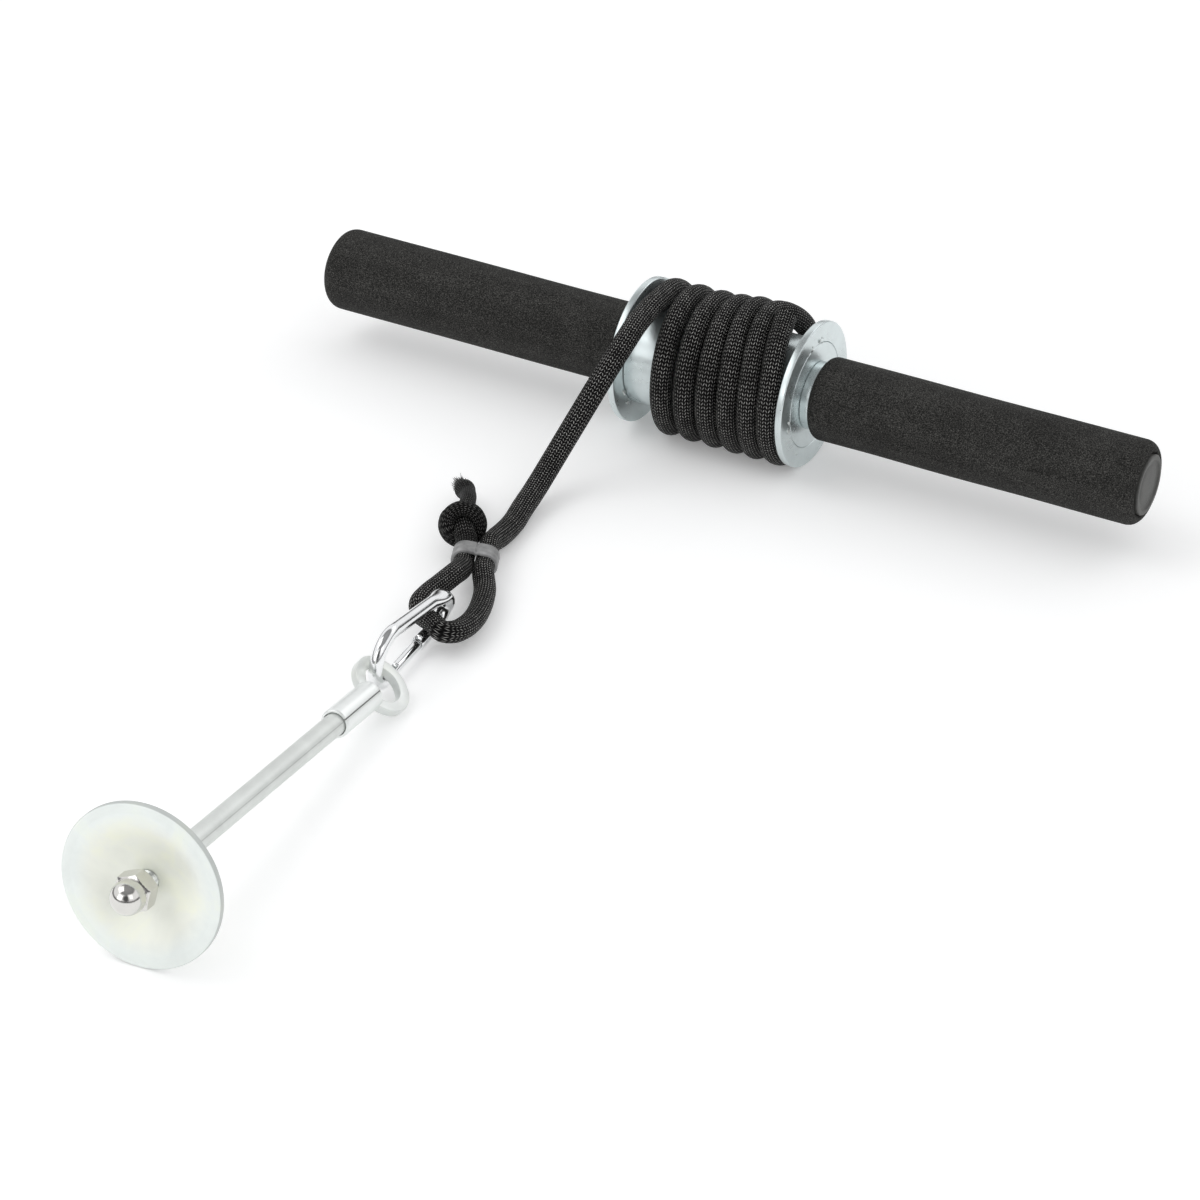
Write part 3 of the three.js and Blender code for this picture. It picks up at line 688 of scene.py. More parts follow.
SLEEVE_SEAM, ROD_SEAM = 105, 112  # degrees round the load pin
FINISHES = {
    "rope": rope_look("rope_braid", 0.46),
    "grip_foam": foam_look(),
    "zinc_steel": metal_look("zinc_steel", (0.69, 0.755, 0.76), 0.29, sheen=0.85),
    "bright_zinc": metal_look("bright_zinc", (0.8, 0.825, 0.8), 0.3, mottle=0.1, warm=0.05),
    "polished_steel": metal_look(
        "polished_steel", (0.84, 0.85, 0.855), 0.13, mottle=0.05, scratches=0.1
    ),
    "cap_plastic": plastic_look(),
    "clamp_steel": clamp_look(),
}
KNOTTED_ROPE = rope_look("knot_braid", 0.2)
RING_ZINC = metal_look("ring_zinc", (0.82, 0.845, 0.825), 0.34, mottle=0.1, warm=0.04, sheen=0.6)
SLEEVE_ZINC = metal_look(
    "sleeve_zinc",
    (0.88, 0.905, 0.89),
    0.34,
    mottle=0.08,
    seam=(SLEEVE_SEAM / 360, 0.25),
    sheen=0.6,
)
ROD_ZINC = metal_look(
    "rod_zinc", (0.75, 0.775, 0.75), 0.42, mottle=0.1, seam=(ROD_SEAM / 360, 0.78), sheen=0.4
)
NUT_STEEL = metal_look("nut_steel", (0.7, 0.69, 0.665), 0.14, mottle=0.06, scratches=0.12)
WELD = metal_look("weld_bead", (0.62, 0.65, 0.64), 0.3, mottle=0.3, scratches=0.4)


def place_piece(piece, body, slot, replaces=(), material=None):
    """Gives a piece its finish, its body and the CAD nodes that it stands for."""
    piece.data.materials.clear()
    piece.data.materials.append(material or FINISHES[slot])
    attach(piece, body)
    if replaces:
        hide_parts(*replaces)
    return piece


# Rope: winding and free stretch

CREST_TURNS = 4  # the last turns, which stand off the drum more and more
CREST_POWER = 4
CROSSING = (1, 0.85, 0.7, 0.3)  # turns before the end: the swing starts, is full, fades, is over


def crest(turns):
    """How much a place on the winding is at the top, and among its last turns."""
    lateness = between(turns, WHOLE_TURNS - CREST_TURNS, WHOLE_TURNS - 1)
    return lateness * np.maximum(0, np.cos(2 * math.pi * turns)) ** CREST_POWER


def wound_x(turns):
    crowding = PITCH_LOSS * turns * turns
    sway = TURN_SWAY * np.sin(2 * math.pi * turns + SWAY_PHASE)
    start, full, fade, over = (WHOLE_TURNS - before for before in CROSSING)
    crossed = between(turns, start, full) * (1 - between(turns, fade, over))
    swept = FIRST_TURN_X + TURN_PITCH * turns - crowding - sway
    return swept - CREST_LEAN * crest(turns) + CROSSING_SWING * crossed


def wound_points(turns):
    angle = 2 * math.pi * turns
    radius = WOUND_RADIUS + CREST_LIFT * crest(turns)
    high = BAR_HEIGHT + radius * np.cos(angle)
    return np.stack([wound_x(turns), radius * np.sin(angle), high], axis=1)


WOUND_STEPS_PER_TURN = 110
ROPE_SIDES = 24
ROPE_STEP = 1.5
ROPE_SHARP = 70  # degrees: only the cut ends have sharp edges
RUN_OUT_STEPS = 6  # of the straight ends
TURN_FIT = 0.99  # of the room between neighbouring turns


def wound_rope():
    """The winding's path, normals and rings, from its far end to the take-off."""
    turns = np.linspace(WOUND_TURNS, 0, round(WOUND_TURNS * WOUND_STEPS_PER_TURN) + 1)
    path = wound_points(turns)
    angle = 2 * math.pi * turns
    outward = np.stack([np.zeros_like(angle), np.sin(angle), np.cos(angle)], axis=1)
    ahead = directions(path)
    run_out = np.linspace(ROPE_STEP, ROPE_DIAMETER, RUN_OUT_STEPS)[:, None]
    path = np.concatenate(
        [(path[0] - ahead[0] * run_out)[::-1], path, path[-1] + ahead[-1] * run_out]
    )
    outward = np.pad(outward, ((RUN_OUT_STEPS, RUN_OUT_STEPS), (0, 0)), "edge")
    turns = np.pad(turns, RUN_OUT_STEPS, "edge")
    ahead = directions(path)
    normals = outward - ahead * np.sum(outward * ahead, axis=1)[:, None]
    normals /= np.linalg.norm(normals, axis=1)[:, None]
    across = np.cross(ahead, normals)

    # Neighbouring turns press each other flat where they crowd together.
    next_gap = (wound_x(turns + 1) - wound_x(turns)) / 2
    last_gap = (wound_x(turns) - wound_x(turns - 1)) / 2
    next_gap += 2 * between(turns, WOUND_TURNS - 1.02, WOUND_TURNS - 0.98)
    to_next, to_last = (np.minimum(ROPE_RADIUS, TURN_FIT * gap) for gap in (next_gap, last_gap))
    faces_next = np.sign(across[:, 0])
    rings = np.empty((len(path), ROPE_SIDES, 3))
    for j in range(ROPE_SIDES):
        a = 2 * math.pi * j / ROPE_SIDES
        side = np.where(math.sin(a) * faces_next >= 0, to_next, to_last)
        out = ROPE_RADIUS * math.cos(a) * normals
        rings[:, j] = path + out + (side * math.sin(a))[:, None] * across
    rings[:, :, 2] = np.maximum(rings[:, :, 2], 0)
    return path, normals, rings


def rope_piece(name, path, radii, normals, start):
    """A stretch of rope. Its braid goes on from the length at its start."""
    rings = tube_rings(path, radii, normals, ROPE_SIDES)
    return skinned(name, rings, lengths_of(path) + start, ROPE_SHARP, caps=True)


wound_path, wound_normals, wound_rings = wound_rope()
wound_lengths = lengths_of(wound_path)
winding = skinned("wound_rope", wound_rings, wound_lengths, ROPE_SHARP, caps=True)
place_piece(winding, "rope", "rope", ["rope_winding"])

SPAN_STOP = CLAMP_LENGTH / 2 + ROPE_RADIUS
DRAWN_IN_LENGTH = 16  # over which the free stretch becomes as thin as the loop
take_off = directions(wound_path)[-1]
SPAN_POINTS = [
    wound_path[-1],
    wound_path[-1] + take_off * ROPE_RADIUS,
    (-29.3, -20, 58),
    (-28.5, -30, 56.7),
    (-28, -40, 53.5),
    (-28.8, -50.5, 47.5),
    (-30.8, -59, 39.5),
    (-33.6, -66, 30.5),
    (-36.4, -73, 21.5),
    (-38.2, -82, 13.5),
    (-38.2, -93, 8.4),
    (-36.9, -105.5, 6),
    (-34.9, -117, 5),
    (-33.8, -127, 5.4),
    (-32.9, -135, 6.7),
    strand_point(1, -SPAN_STOP - ROPE_RADIUS),
    strand_point(1, -SPAN_STOP),
]
span_path = spline(SPAN_POINTS, 1.2)
span_lengths = lengths_of(span_path)
span_normals = carried(span_path, wound_normals[-1])
drawn_in = between(span_lengths, span_lengths[-1] - DRAWN_IN_LENGTH, span_lengths[-1])
span_radii = ROPE_RADIUS + (LOOP_RADIUS + 0.1 - ROPE_RADIUS) * drawn_in
span = rope_piece("free_rope", span_path, span_radii, span_normals, wound_lengths[-1])
place_piece(span, "rope", "rope", ["rope_span"])


# Rope: loop, knot and clamp

LOOP_POINTS = [
    strand_point(1, CLEARANCE - SPAN_STOP),
    strand_point(1, 0),
    strand_point(1, CLAMP_LENGTH / 2),
    strand_point(1, SPAN_STOP),
    (-17.2, -170.5, 6.2),
    (-12.6, -181, 6.2),
    (-9.3, -192, 6.8),
    (-8.1, -202, 8),
    (-8.8, -209.5, 9.6),
    (-11.6, -213, 10.9),
    across_hook(LOOP_RADIUS),
    across_hook(0),
    across_hook(-LOOP_RADIUS),
    (-27, -203.5, 13),
    (-28, -196, 13.2),
    (-27.8, -187, 13.1),
    (-27.6, -177, 13),
    strand_point(-1, SPAN_STOP),
    strand_point(-1, CLAMP_LENGTH / 2),
    strand_point(-1, 0),
    strand_point(-1, -CLAMP_LENGTH / 2 - CLEARANCE),
]
LOOP_FULL_RADIUS = 4.4
SQUEEZED_RADIUS = 4.05
CLAMP_SQUEEZE = (6, 13)  # mm from the clamp's middle: squeezed up to here, full from there
HOOK_SQUEEZE = (5, 14)  # and from the middle of the rope on the hook
loop_path = spline(LOOP_POINTS, 1.0)
loop_lengths = lengths_of(loop_path)
loop_normals = carried(loop_path, span_normals[-1])
loop_start = wound_lengths[-1] + span_lengths[-1]
from_clamp = np.linalg.norm(loop_path - CLAMP_PLACE, axis=1)
from_hook = np.linalg.norm(loop_path - across_hook(0), axis=1)
loop_radii = SQUEEZED_RADIUS + (LOOP_FULL_RADIUS - SQUEEZED_RADIUS) * (
    between(from_clamp, *CLAMP_SQUEEZE) * between(from_hook, *HOOK_SQUEEZE)
)
loop = rope_piece("rope_eye", loop_path, loop_radii, loop_normals, loop_start)
place_piece(loop, "rope_end", "rope", ["rope_loop"])

KNOT_PLACE = vec(-44.6, -140.4, 12.6)
KNOT_AXIS = unit(vec(-0.58, 0.81, 0.06))
KNOT_LEAN = 20 * DEGREE
KNOT_ROPE_RADIUS = 3.3
KNOT_NECK_RADIUS = 4.35
NECK_SWELLS = 4  # mm from the clamp to the neck's full radius
NECK_NARROWS = (12, 20)  # mm along, where the neck becomes as thin as the knot's rope
# mm: more radius near the tail's end, less at it, and over what length
TAIL_GROWTH, TAIL_TAPER, TAIL_TIP = 0.9, 1.5, 6
knot_side = unit(np.cross(UP, KNOT_AXIS))
knot_top = np.cross(KNOT_AXIS, knot_side)
KNOT = Frame(
    KNOT_PLACE,
    knot_side,
    knot_top * math.cos(KNOT_LEAN) + KNOT_AXIS * math.sin(KNOT_LEAN),
)


def on_wrap(angle, radius, along):
    """A point of the knot's wrapping turn."""
    return KNOT.point(radius * math.cos(angle * DEGREE), radius * math.sin(angle * DEGREE), along)


# Angle about the knot's axis, distance from it, and place along it
KNOT_WRAP = [
    (25, 6.0, 3.0),
    (-10, 6.4, 2.1),
    (-45, 6.4, 1.2),
    (-90, 6.4, 0.4),
    (-135, 6.4, 0),
    (-180, 6.4, -0.2),
    (-225, 6.4, -0.3),
    (-270, 6.4, 0),
    (-310, 6.4, -0.4),
    (-345, 6.3, -1.0),
    (-375, 5.6, -1.7),
]
KNOT_POINTS = [
    strand_point(-1, -CLAMP_LENGTH / 2 - CLEARANCE),
    strand_point(-1, -CLAMP_LENGTH / 2 - LOOP_RADIUS - CLEARANCE),
    KNOT_PLACE - KNOT_AXIS * 1.5,
    KNOT.point(0.6, 0.6, 4.4),
    KNOT.point(3.8, 2.4, 5.0),
    *(on_wrap(*spot) for spot in KNOT_WRAP),
    KNOT.point(2.2, -2.6, 0.4),
    KNOT.point(0, -0.8, 5.0),
    (-49.4, -130.6, 12.6),
    (-53.2, -121.5, 12),
    (-58.2, -113, 9.8),
    (-66, -105, 7.6),
]
knot_path = spline(KNOT_POINTS, 0.8)
knot_lengths = lengths_of(knot_path)
knot_normals = carried(knot_path, loop_normals[-1])
into_knot = between(knot_lengths, *NECK_NARROWS)
knot_radii = KNOT_NECK_RADIUS + (KNOT_ROPE_RADIUS - KNOT_NECK_RADIUS) * into_knot
off_clamp = between(knot_lengths, 0, NECK_SWELLS)
knot_radii -= (KNOT_NECK_RADIUS - SQUEEZED_RADIUS) * (1 - off_clamp)
from_tail = knot_lengths[-1] - knot_lengths
swell = TAIL_GROWTH * (1 - between(from_tail, TAIL_TIP, 2 * TAIL_TIP))
knot_radii += swell - TAIL_TAPER * (1 - between(from_tail, 0, TAIL_TIP))
knot_start = loop_start + loop_lengths[-1]
knot = rope_piece("stopper_knot", knot_path, knot_radii, knot_normals, knot_start)
place_piece(knot, "rope_end", "rope", ["rope_knot"], KNOTTED_ROPE)

FRAY_COUNT = 220
FRAY_LONGEST = 3.4
FRAY_THICKNESS = 0.15
FRAY_SIDES = 5


def frayed_end():
    """Loose ends of yarn, at the tail's end."""
    dice = np.random.default_rng(7)
    ahead = directions(knot_path)[-1]
    side = knot_normals[-1]
    other = np.cross(ahead, side)
    bm = bmesh.new()
    for _ in range(FRAY_COUNT):
        turn = dice.uniform(0, 2 * math.pi)
        out = knot_radii[-1] * math.sqrt(dice.uniform(0.02, 1))
        outward = math.cos(turn) * side + math.sin(turn) * other
        root = knot_path[-1] + outward * out - ahead * 0.6
        lean = ahead + outward * dice.uniform(0, 0.7) * out / knot_radii[-1]
        length = dice.uniform(0.9, FRAY_LONGEST)
        curl = unit(dice.normal(size=3)) * dice.uniform(0, 0.35)
        steps = (0, 0.35, 0.7, 1)
        yarn = np.array([root + unit(lean) * length * t + curl * length * t * t for t in steps])
        radii = np.array([1, 1, 0.8, 0.3]) * FRAY_THICKNESS
        rings = tube_rings(yarn, radii, carried(yarn, side + 0.3 * other), FRAY_SIDES)
        rows = [[bm.verts.new(p) for p in ring] for ring in rings]
        for low, high in zip(rows, rows[1:]):
            for j in range(FRAY_SIDES):
                k = (j + 1) % FRAY_SIDES
                bm.faces.new((low[j], low[k], high[k], high[j]))
        bm.faces.new(rows[0][::-1])
        bm.faces.new(rows[-1])
    return finish_mesh("frayed_end", bm, ROPE_SHARP)


def yarn_look():
    look = Look("loose_yarn", Roughness=0.6, Sheen_Weight=0.2, Sheen_Roughness=0.5)
    speckle = look.noise(look.object_place(), 3000, 2)
    colour = look.ramp(speckle, (0.35, (0.008, 0.008, 0.008)), (0.7, (0.045, 0.044, 0.043)))
    return look.finish(Base_Color=colour, Normal=look.bump(speckle, 0.05, 0.5))


place_piece(frayed_end(), "rope_end", "rope", material=yarn_look())


CLAMP_GROOVE, CLAMP_GROOVE_WIDTH = 0.55, 0.45
CLAMP_ROUND = 0.35
CLAMP_WAIST = 0.16  # how much lower the band is half way along
CLAMP_TIGHT = 0.15  # how much closer it lies to the strands than in the part


def clamp_outline(grow, count=120):
    """The band's outline: flat over both strands, round at its ends, grooved in the middle."""
    half = STRAND_SPACING / 2
    radius = LOOP_RADIUS + CLEARANCE + grow
    straight, bow = 2 * half, math.pi * radius
    points = []
    for along in np.linspace(0, 2 * (straight + bow), count, endpoint=False):
        side = 1 if along < straight + bow else -1
        along = along % (straight + bow)
        if along < straight:
            x = half - along
            y = radius - CLAMP_GROOVE * math.exp(-((x / CLAMP_GROOVE_WIDTH) ** 2))
        else:
            angle = math.pi / 2 + (along - straight) / radius
            x, y = radius * math.cos(angle) - half, radius * math.sin(angle)
        points.append((side * x, side * y))
    return np.array(points)


def clamp_band():
    half = CLAMP_LENGTH / 2
    inner = [(0, -half), (0, half)]
    outer = [
        (CLAMP_WALL - CLAMP_ROUND, half),
        (CLAMP_WALL - 0.1, half - 0.1),
        (CLAMP_WALL, half - CLAMP_ROUND),
        (CLAMP_WALL, half * 0.35),
        (CLAMP_WALL - CLAMP_WAIST, half * 0.12),
    ]
    outer += [(grow, -along) for grow, along in reversed(outer)]
    rings = [
        [CLAMP.point(x, along, y) for x, y in clamp_outline(grow - CLAMP_TIGHT)]
        for grow, along in inner + outer
    ]
    return skinned("clamp_band", rings, np.arange(len(rings), dtype=float), 50, closed=True)


place_piece(clamp_band(), "rope_end", "clamp_steel", ["rope_clamp"])

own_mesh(span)


# Roller: grips, caps and spool

ON_BAR = BAR_RADIUS + CLEARANCE
GRIP_LIP = [(13.6, 0.75), (13.0, 1.3), (ON_BAR, 1.9)]  # radius, and how far in from the grip's end
GRIP_WAVES, GRIP_RIPPLE = 7, 0.035
CAP_ROUND = 0.6
CAP_SHANK = 12
CAP_RIM = 1.6
CAP_STEP = [(10.5, 0.12), (10.25, 0.45), (10.0, 0.62), (9.7, 0.7)]  # radius, and depth
CAP_RING = [(8.9, 0.7), (8.72, 0.78), (8.48, 0.78), (8.3, 0.7)]
FLANGE_EDGE = 0.55
WELD_GAP = 0.12


def roller_piece(name, node, side, outline, steps, sharp=35, ripple=None, slot="zinc_steel"):
    """A turned piece of one end of the roller."""
    piece = turned(name + "_" + side, outline, ROLLER_ENDS[side], steps, sharp, ripple)
    return place_piece(piece, "roller", slot, [node + "_" + side])


def grip(side):
    inner, outer = GRIP_INNER_ROUND, GRIP_OUTER_ROUND
    outline = [
        [ON_BAR, GRIP_START],
        *arc(GRIP_RADIUS - inner, GRIP_START + inner, inner, -90, 0, 8),
        *arc(GRIP_RADIUS - outer, GRIP_END - outer, outer, 0, 66, 12),
        *[[radius, GRIP_END - inward] for radius, inward in GRIP_LIP],
    ]
    dice = np.random.default_rng(3 if side == "left" else 4)
    waves = [
        (dice.integers(2, 6), dice.uniform(0, 6.3), dice.uniform(0.02, 0.09))
        for _ in range(GRIP_WAVES)
    ]

    def ripple(angles, radius, height):
        shape = sum(np.sin(n * angles + phase + pace * height) for n, phase, pace in waves)
        return GRIP_RIPPLE * shape * min(1, (radius - ON_BAR) / 2)

    fine = finely(outline, 2.5)
    roller_piece("foam_grip", "grip", side, fine, 96, 60, ripple, "grip_foam")


def end_cap(side):
    """A flat head with a raised rim and a shallow ring moulded in it, and a shank in the bar."""
    bottom = GRIP_END - CAP_HEAD + CLEARANCE
    top = bottom + CAP_HEAD
    shank = BAR_RADIUS - BAR_WALL - CLEARANCE
    outline = [
        [0, bottom - CAP_SHANK],
        [shank, bottom - CAP_SHANK],
        [shank, bottom],
        [BAR_RADIUS, bottom],
        *arc(BAR_RADIUS - CAP_ROUND, top - CAP_ROUND, CAP_ROUND, 0, 90, 5),
        [BAR_RADIUS - CAP_RIM, top],
        *[[radius, top - depth] for radius, depth in CAP_STEP + CAP_RING],
        [5, top - 0.62],
        [0, top - 0.55],
    ]
    roller_piece("bar_cap", "end_cap", side, outline, 96, 50, slot="cap_plastic")


def flange(side):
    bore = DRUM_RADIUS + WELD_GAP
    reach = FLANGE_RADIUS - FLANGE_EDGE
    outline = [
        [bore, DRUM_END_INNER],
        *arc(reach, DRUM_END_INNER + FLANGE_EDGE, FLANGE_EDGE, -90, 0),
        *arc(reach, SPOOL_HALF - FLANGE_EDGE, FLANGE_EDGE, 0, 90),
        [bore + 0.25, SPOOL_HALF],
        [bore, SPOOL_HALF - 0.25],
    ]

    def ripple(angles, radius, height):
        return 0.03 * np.sin(3 * angles + 1) * (radius > bore + 1)

    roller_piece("spool_flange", "flange", side, finely(outline, 3), 128, ripple=ripple)


def drum_end(side):
    outline = [
        [ON_BAR, DRUM_END_INNER],
        [DRUM_RADIUS, DRUM_END_INNER],
        [DRUM_RADIUS, SPOOL_HALF - 0.2],
        [DRUM_RADIUS - 0.2, SPOOL_HALF],
        [ON_BAR, SPOOL_HALF],
    ]
    roller_piece("drum_face", "drum_end", side, finely(outline, 3), 128)


def hub(side):
    start, end = SPOOL_HALF + WELD_GAP, GRIP_START - CLEARANCE
    outline = [
        [ON_BAR, start],
        [HUB_RADIUS - 0.2, start],
        [HUB_RADIUS, start + 0.2],
        *arc(HUB_RADIUS - 0.4, end - 0.4, 0.4, 0, 90, 3),
        [ON_BAR, end],
    ]
    roller_piece("hub_ring", "hub_sleeve", side, finely(outline, 2), 96)


for side in ROLLER_ENDS:
    for make in (grip, end_cap, flange, drum_end, hub):
        make(side)

# Tack welds: place along the bar, way the face looks, angle from the top towards the front,
# distance from the axis, length and height
TACKS = [
    (SPOOL_HALF, 1, 104, 24.6, 2.6, 0.5),
    (SPOOL_HALF, 1, 97, 23.4, 1.5, 0.4),
    (SPOOL_HALF, 1, 12, 22.9, 1.7, 0.4),
    (SPOOL_HALF, 1, -5, 23.7, 1.6, 0.45),
    (SPOOL_HALF, 1, -132, 23.2, 2.6, 0.5),
    (-SPOOL_HALF, -1, 62, 23.4, 2.8, 0.5),
    (-SPOOL_HALF, -1, -60, 23.2, 2.4, 0.5),
    (-SPOOL_HALF, -1, 178, 23.3, 2.6, 0.5),
    (-DRUM_END_INNER, 1, 133, 24.3, 1.6, 0.6),
    (-DRUM_END_INNER, 1, 118, 23.3, 2.8, 0.5),
]
SPATTER_COUNT = 4


def tack_welds():
    """Beads of weld where the flanges meet the drum, each with a few drops of spatter."""
    dice = np.random.default_rng(21)
    bm = bmesh.new()

    def bead(along, facing, turn, radius, size, fineness):
        spoke = vec(0, -math.sin(turn), math.cos(turn))
        around = vec(0, math.cos(turn), math.sin(turn))
        middle = vec(along, 0, BAR_HEIGHT) + radius * spoke
        lumps = dice.uniform(-4.5, 4.5, size=(3, 3))
        made = bmesh.ops.create_icosphere(bm, subdivisions=fineness, radius=1)
        for vert in made["verts"]:
            p = np.array(vert.co)
            p *= 1 + 0.12 * sum(math.sin(np.dot(lump, p) + i) for i, lump in enumerate(lumps))
            p *= size
            vert.co = middle + p[0] * around + p[1] * spoke + p[2] * vec(facing, 0, 0)

    for along, facing, degrees, radius, length, height in TACKS:
        turn = degrees * DEGREE
        bead(along, facing, turn, radius, (0.6 * length, 0.8, 1.3 * height), 4)
        for _ in range(SPATTER_COUNT):
            beside = turn + dice.uniform(-0.16, 0.16)
            drop = dice.uniform(0.2, 0.4)
            bead(along, facing, beside, radius + dice.uniform(-1.3, 1.3), (drop, drop, 0.22), 2)
    return finish_mesh("tack_welds", bm, 60)


place_piece(tack_welds(), "roller", "zinc_steel", material=WELD)

drum_half = DRUM_END_INNER - CLEARANCE
drum_wall = [
    [DRUM_RADIUS - DRUM_WALL, -drum_half],
    [DRUM_RADIUS, -drum_half],
    [DRUM_RADIUS, drum_half],
    [DRUM_RADIUS - DRUM_WALL, drum_half],
]
drum = turned("drum_shell", finely(drum_wall, 6), ROLLER_ENDS["right"], 96)
place_piece(drum, "roller", "zinc_steel", ["drum_tube"])


# Snap hook

WIRE_RADIUS = HOOK_WIRE / 2
GATE_RADIUS = GATE_DIAMETER / 2
WIRE_END = GATE_HINGE - GATE_RADIUS - CLEARANCE
NOSE_START = GATE_TIP + CLEARANCE
NOSE_REACH = (4, 11)  # mm from the nose: fullest up to here, plain wire from there
NOSE_GROWTH = (0.35, 0.12)  # of the wire's radius, in the hook's plane and across it
PRESSED_REACH = (22, 29, 36, 46)  # mm from the nose: the flat starts, is full, fades, is over
PRESSED_GROWTH = (-0.35, 1.35)
START_TAPER, START_ROUND = 0.5, 1.2  # at the hinge: how much thinner, over what length
END_TAPER, END_ROUND = 0.45, 1.0  # and at the nose
MARK_PLACE = GATE_HINGE + 5.2
MARK_SIZE = (0.9, 3.4, 0.9)
gate_along = math.cos(TAPER) * HOOK.x + math.sin(TAPER) * HOOK.y
gate_across = -math.sin(TAPER) * HOOK.x + math.cos(TAPER) * HOOK.y


def gate_point(along):
    start = HOOK.point(HOOK_BROAD * math.sin(TAPER), -HOOK_BROAD * math.cos(TAPER), 0)
    return start + along * gate_along


def gate_frame(along):
    """X across the gate, Y along it."""
    return Frame(gate_point(along), gate_across, gate_along)


def hook_bend(centre, radius, start, end, count=60):
    angles = np.linspace(start, end, count)
    spots = [(centre + radius * math.cos(a), radius * math.sin(a)) for a in angles]
    return np.array([HOOK.point(x, y, 0) for x, y in spots])


def hook_wire():
    """One bent wire, fuller at the nose and pressed flat further along."""
    quarter = math.pi / 2
    broad = hook_bend(0, HOOK_BROAD, TAPER - quarter, -3 * quarter - TAPER)
    narrow = hook_bend(BEND_SPACING, HOOK_NARROW, quarter - TAPER, TAPER - quarter)
    path = np.concatenate([[gate_point(WIRE_END)], broad, narrow, [gate_point(NOSE_START)]])
    path = even(path, 0.8)
    lengths = lengths_of(path)
    from_nose = lengths[-1] - lengths
    nose = 1 - between(from_nose, *NOSE_REACH)
    start = 1 - between(lengths, 0, START_ROUND)
    end = 1 - between(from_nose, 0, END_ROUND)
    starts, full, fades, over = PRESSED_REACH
    pressed = between(from_nose, starts, full) * (1 - between(from_nose, fades, over))
    radii = [
        WIRE_RADIUS + fuller * nose - START_TAPER * start - END_TAPER * end + wider * pressed
        for fuller, wider in zip(NOSE_GROWTH, PRESSED_GROWTH)
    ]
    normals = np.cross(np.broadcast_to(HOOK.z, path.shape), directions(path))
    rings = tube_rings(path, np.stack(radii, axis=1), normals, 32)
    wire = skinned("hook_wire", rings, lengths, 40, caps=True)
    slot = block(
        "slot",
        gate_frame(NOSE_START + (TONGUE_LENGTH - 3) / 2),
        (HOOK_WIRE + 3, TONGUE_LENGTH + 3, TANG_THICKNESS + 2 * CLEARANCE),
    )
    return cut(wire, slot)


def gate_solid():
    """Round gate with a fork at the hinge and a pressed mark on its side."""
    place = gate_frame(0)
    r = GATE_RADIUS
    outline = [
        [0, GATE_HINGE - r],
        [r * 0.55, GATE_HINGE - r * 0.92],
        [r * 0.85, GATE_HINGE - r * 0.6],
        [r, GATE_HINGE],
        [r, GATE_TIP - 0.5],
        [r - 0.15, GATE_TIP - 0.2],
        [r - 0.5, GATE_TIP],
        [0, GATE_TIP],
    ]
    body = turned("gate_bar", finely(outline, 1.2), place, 40, 40)
    fork = block(
        "fork", gate_frame(GATE_HINGE), (3 * r, 2 * (r + CLEARANCE), TANG_THICKNESS + 2 * CLEARANCE)
    )
    mark = Frame(gate_point(MARK_PLACE) - HOOK.z * r, gate_across, gate_along)
    return cut(body, fork, block("mark", mark, MARK_SIZE))


place_piece(hook_wire(), "snap_hook", "polished_steel", ["hook_frame"])
place_piece(gate_solid(), "gate", "polished_steel", ["hook_gate"])

tongue = block(
    "gate_tongue",
    gate_frame(GATE_TIP + TONGUE_LENGTH / 2 - CLEARANCE),
    (GATE_DIAMETER - 0.4, TONGUE_LENGTH, TANG_THICKNESS),
)
place_piece(soften(tongue, 0.3), "gate", "polished_steel")

hinge = block(
    "hinge_tang",
    gate_frame((WIRE_END - GATE_RADIUS + GATE_HINGE) / 2),
    (GATE_DIAMETER - CLEARANCE - 0.3, GATE_HINGE - WIRE_END + GATE_RADIUS, TANG_THICKNESS),
)
place_piece(soften(hinge, 0.4, 3), "snap_hook", "polished_steel")


def rivet():
    """The hinge pin, with domed heads proud of the gate."""
    place = Frame(gate_point(GATE_HINGE), gate_along, HOOK.z)
    half = GATE_RADIUS - 0.1
    r = GATE_PIN_RADIUS
    outline = [[0, -half - 0.3], [r * 0.8, -half - 0.15], [r * 1.1, -half + 0.1], [r, -half + 0.2]]
    outline += [[radius, -height] for radius, height in reversed(outline)]
    return turned("hinge_rivet", outline, place, 32, 50)


place_piece(rivet(), "snap_hook", "polished_steel", ["gate_pin"])


# Eye, ferrule and load pin


def eye_ring():
    half = EYE_THICKNESS / 2
    edge = 0.3
    outline = [
        *arc(EYE_INNER + edge, edge - half, edge, 180, 270, 6),
        *arc(EYE_OUTER - edge, edge - half, edge, 270, 360, 6),
        *arc(EYE_OUTER - edge, half - edge, edge, 0, 90, 6),
        *arc(EYE_INNER + edge, half - edge, edge, 90, 180, 6),
    ]
    flat = Frame(EYE.place, EYE.x, EYE.z)

    def ripple(angles, radius, height):
        return 0.05 * np.sin(2 * angles + 0.7) + 0.03 * np.sin(5 * angles)

    return turned("eye_band", outline, flat, 112, 35, ripple)


SEAM_DEPTH = 0.35
SEAM_WIDTH = 0.035  # radians


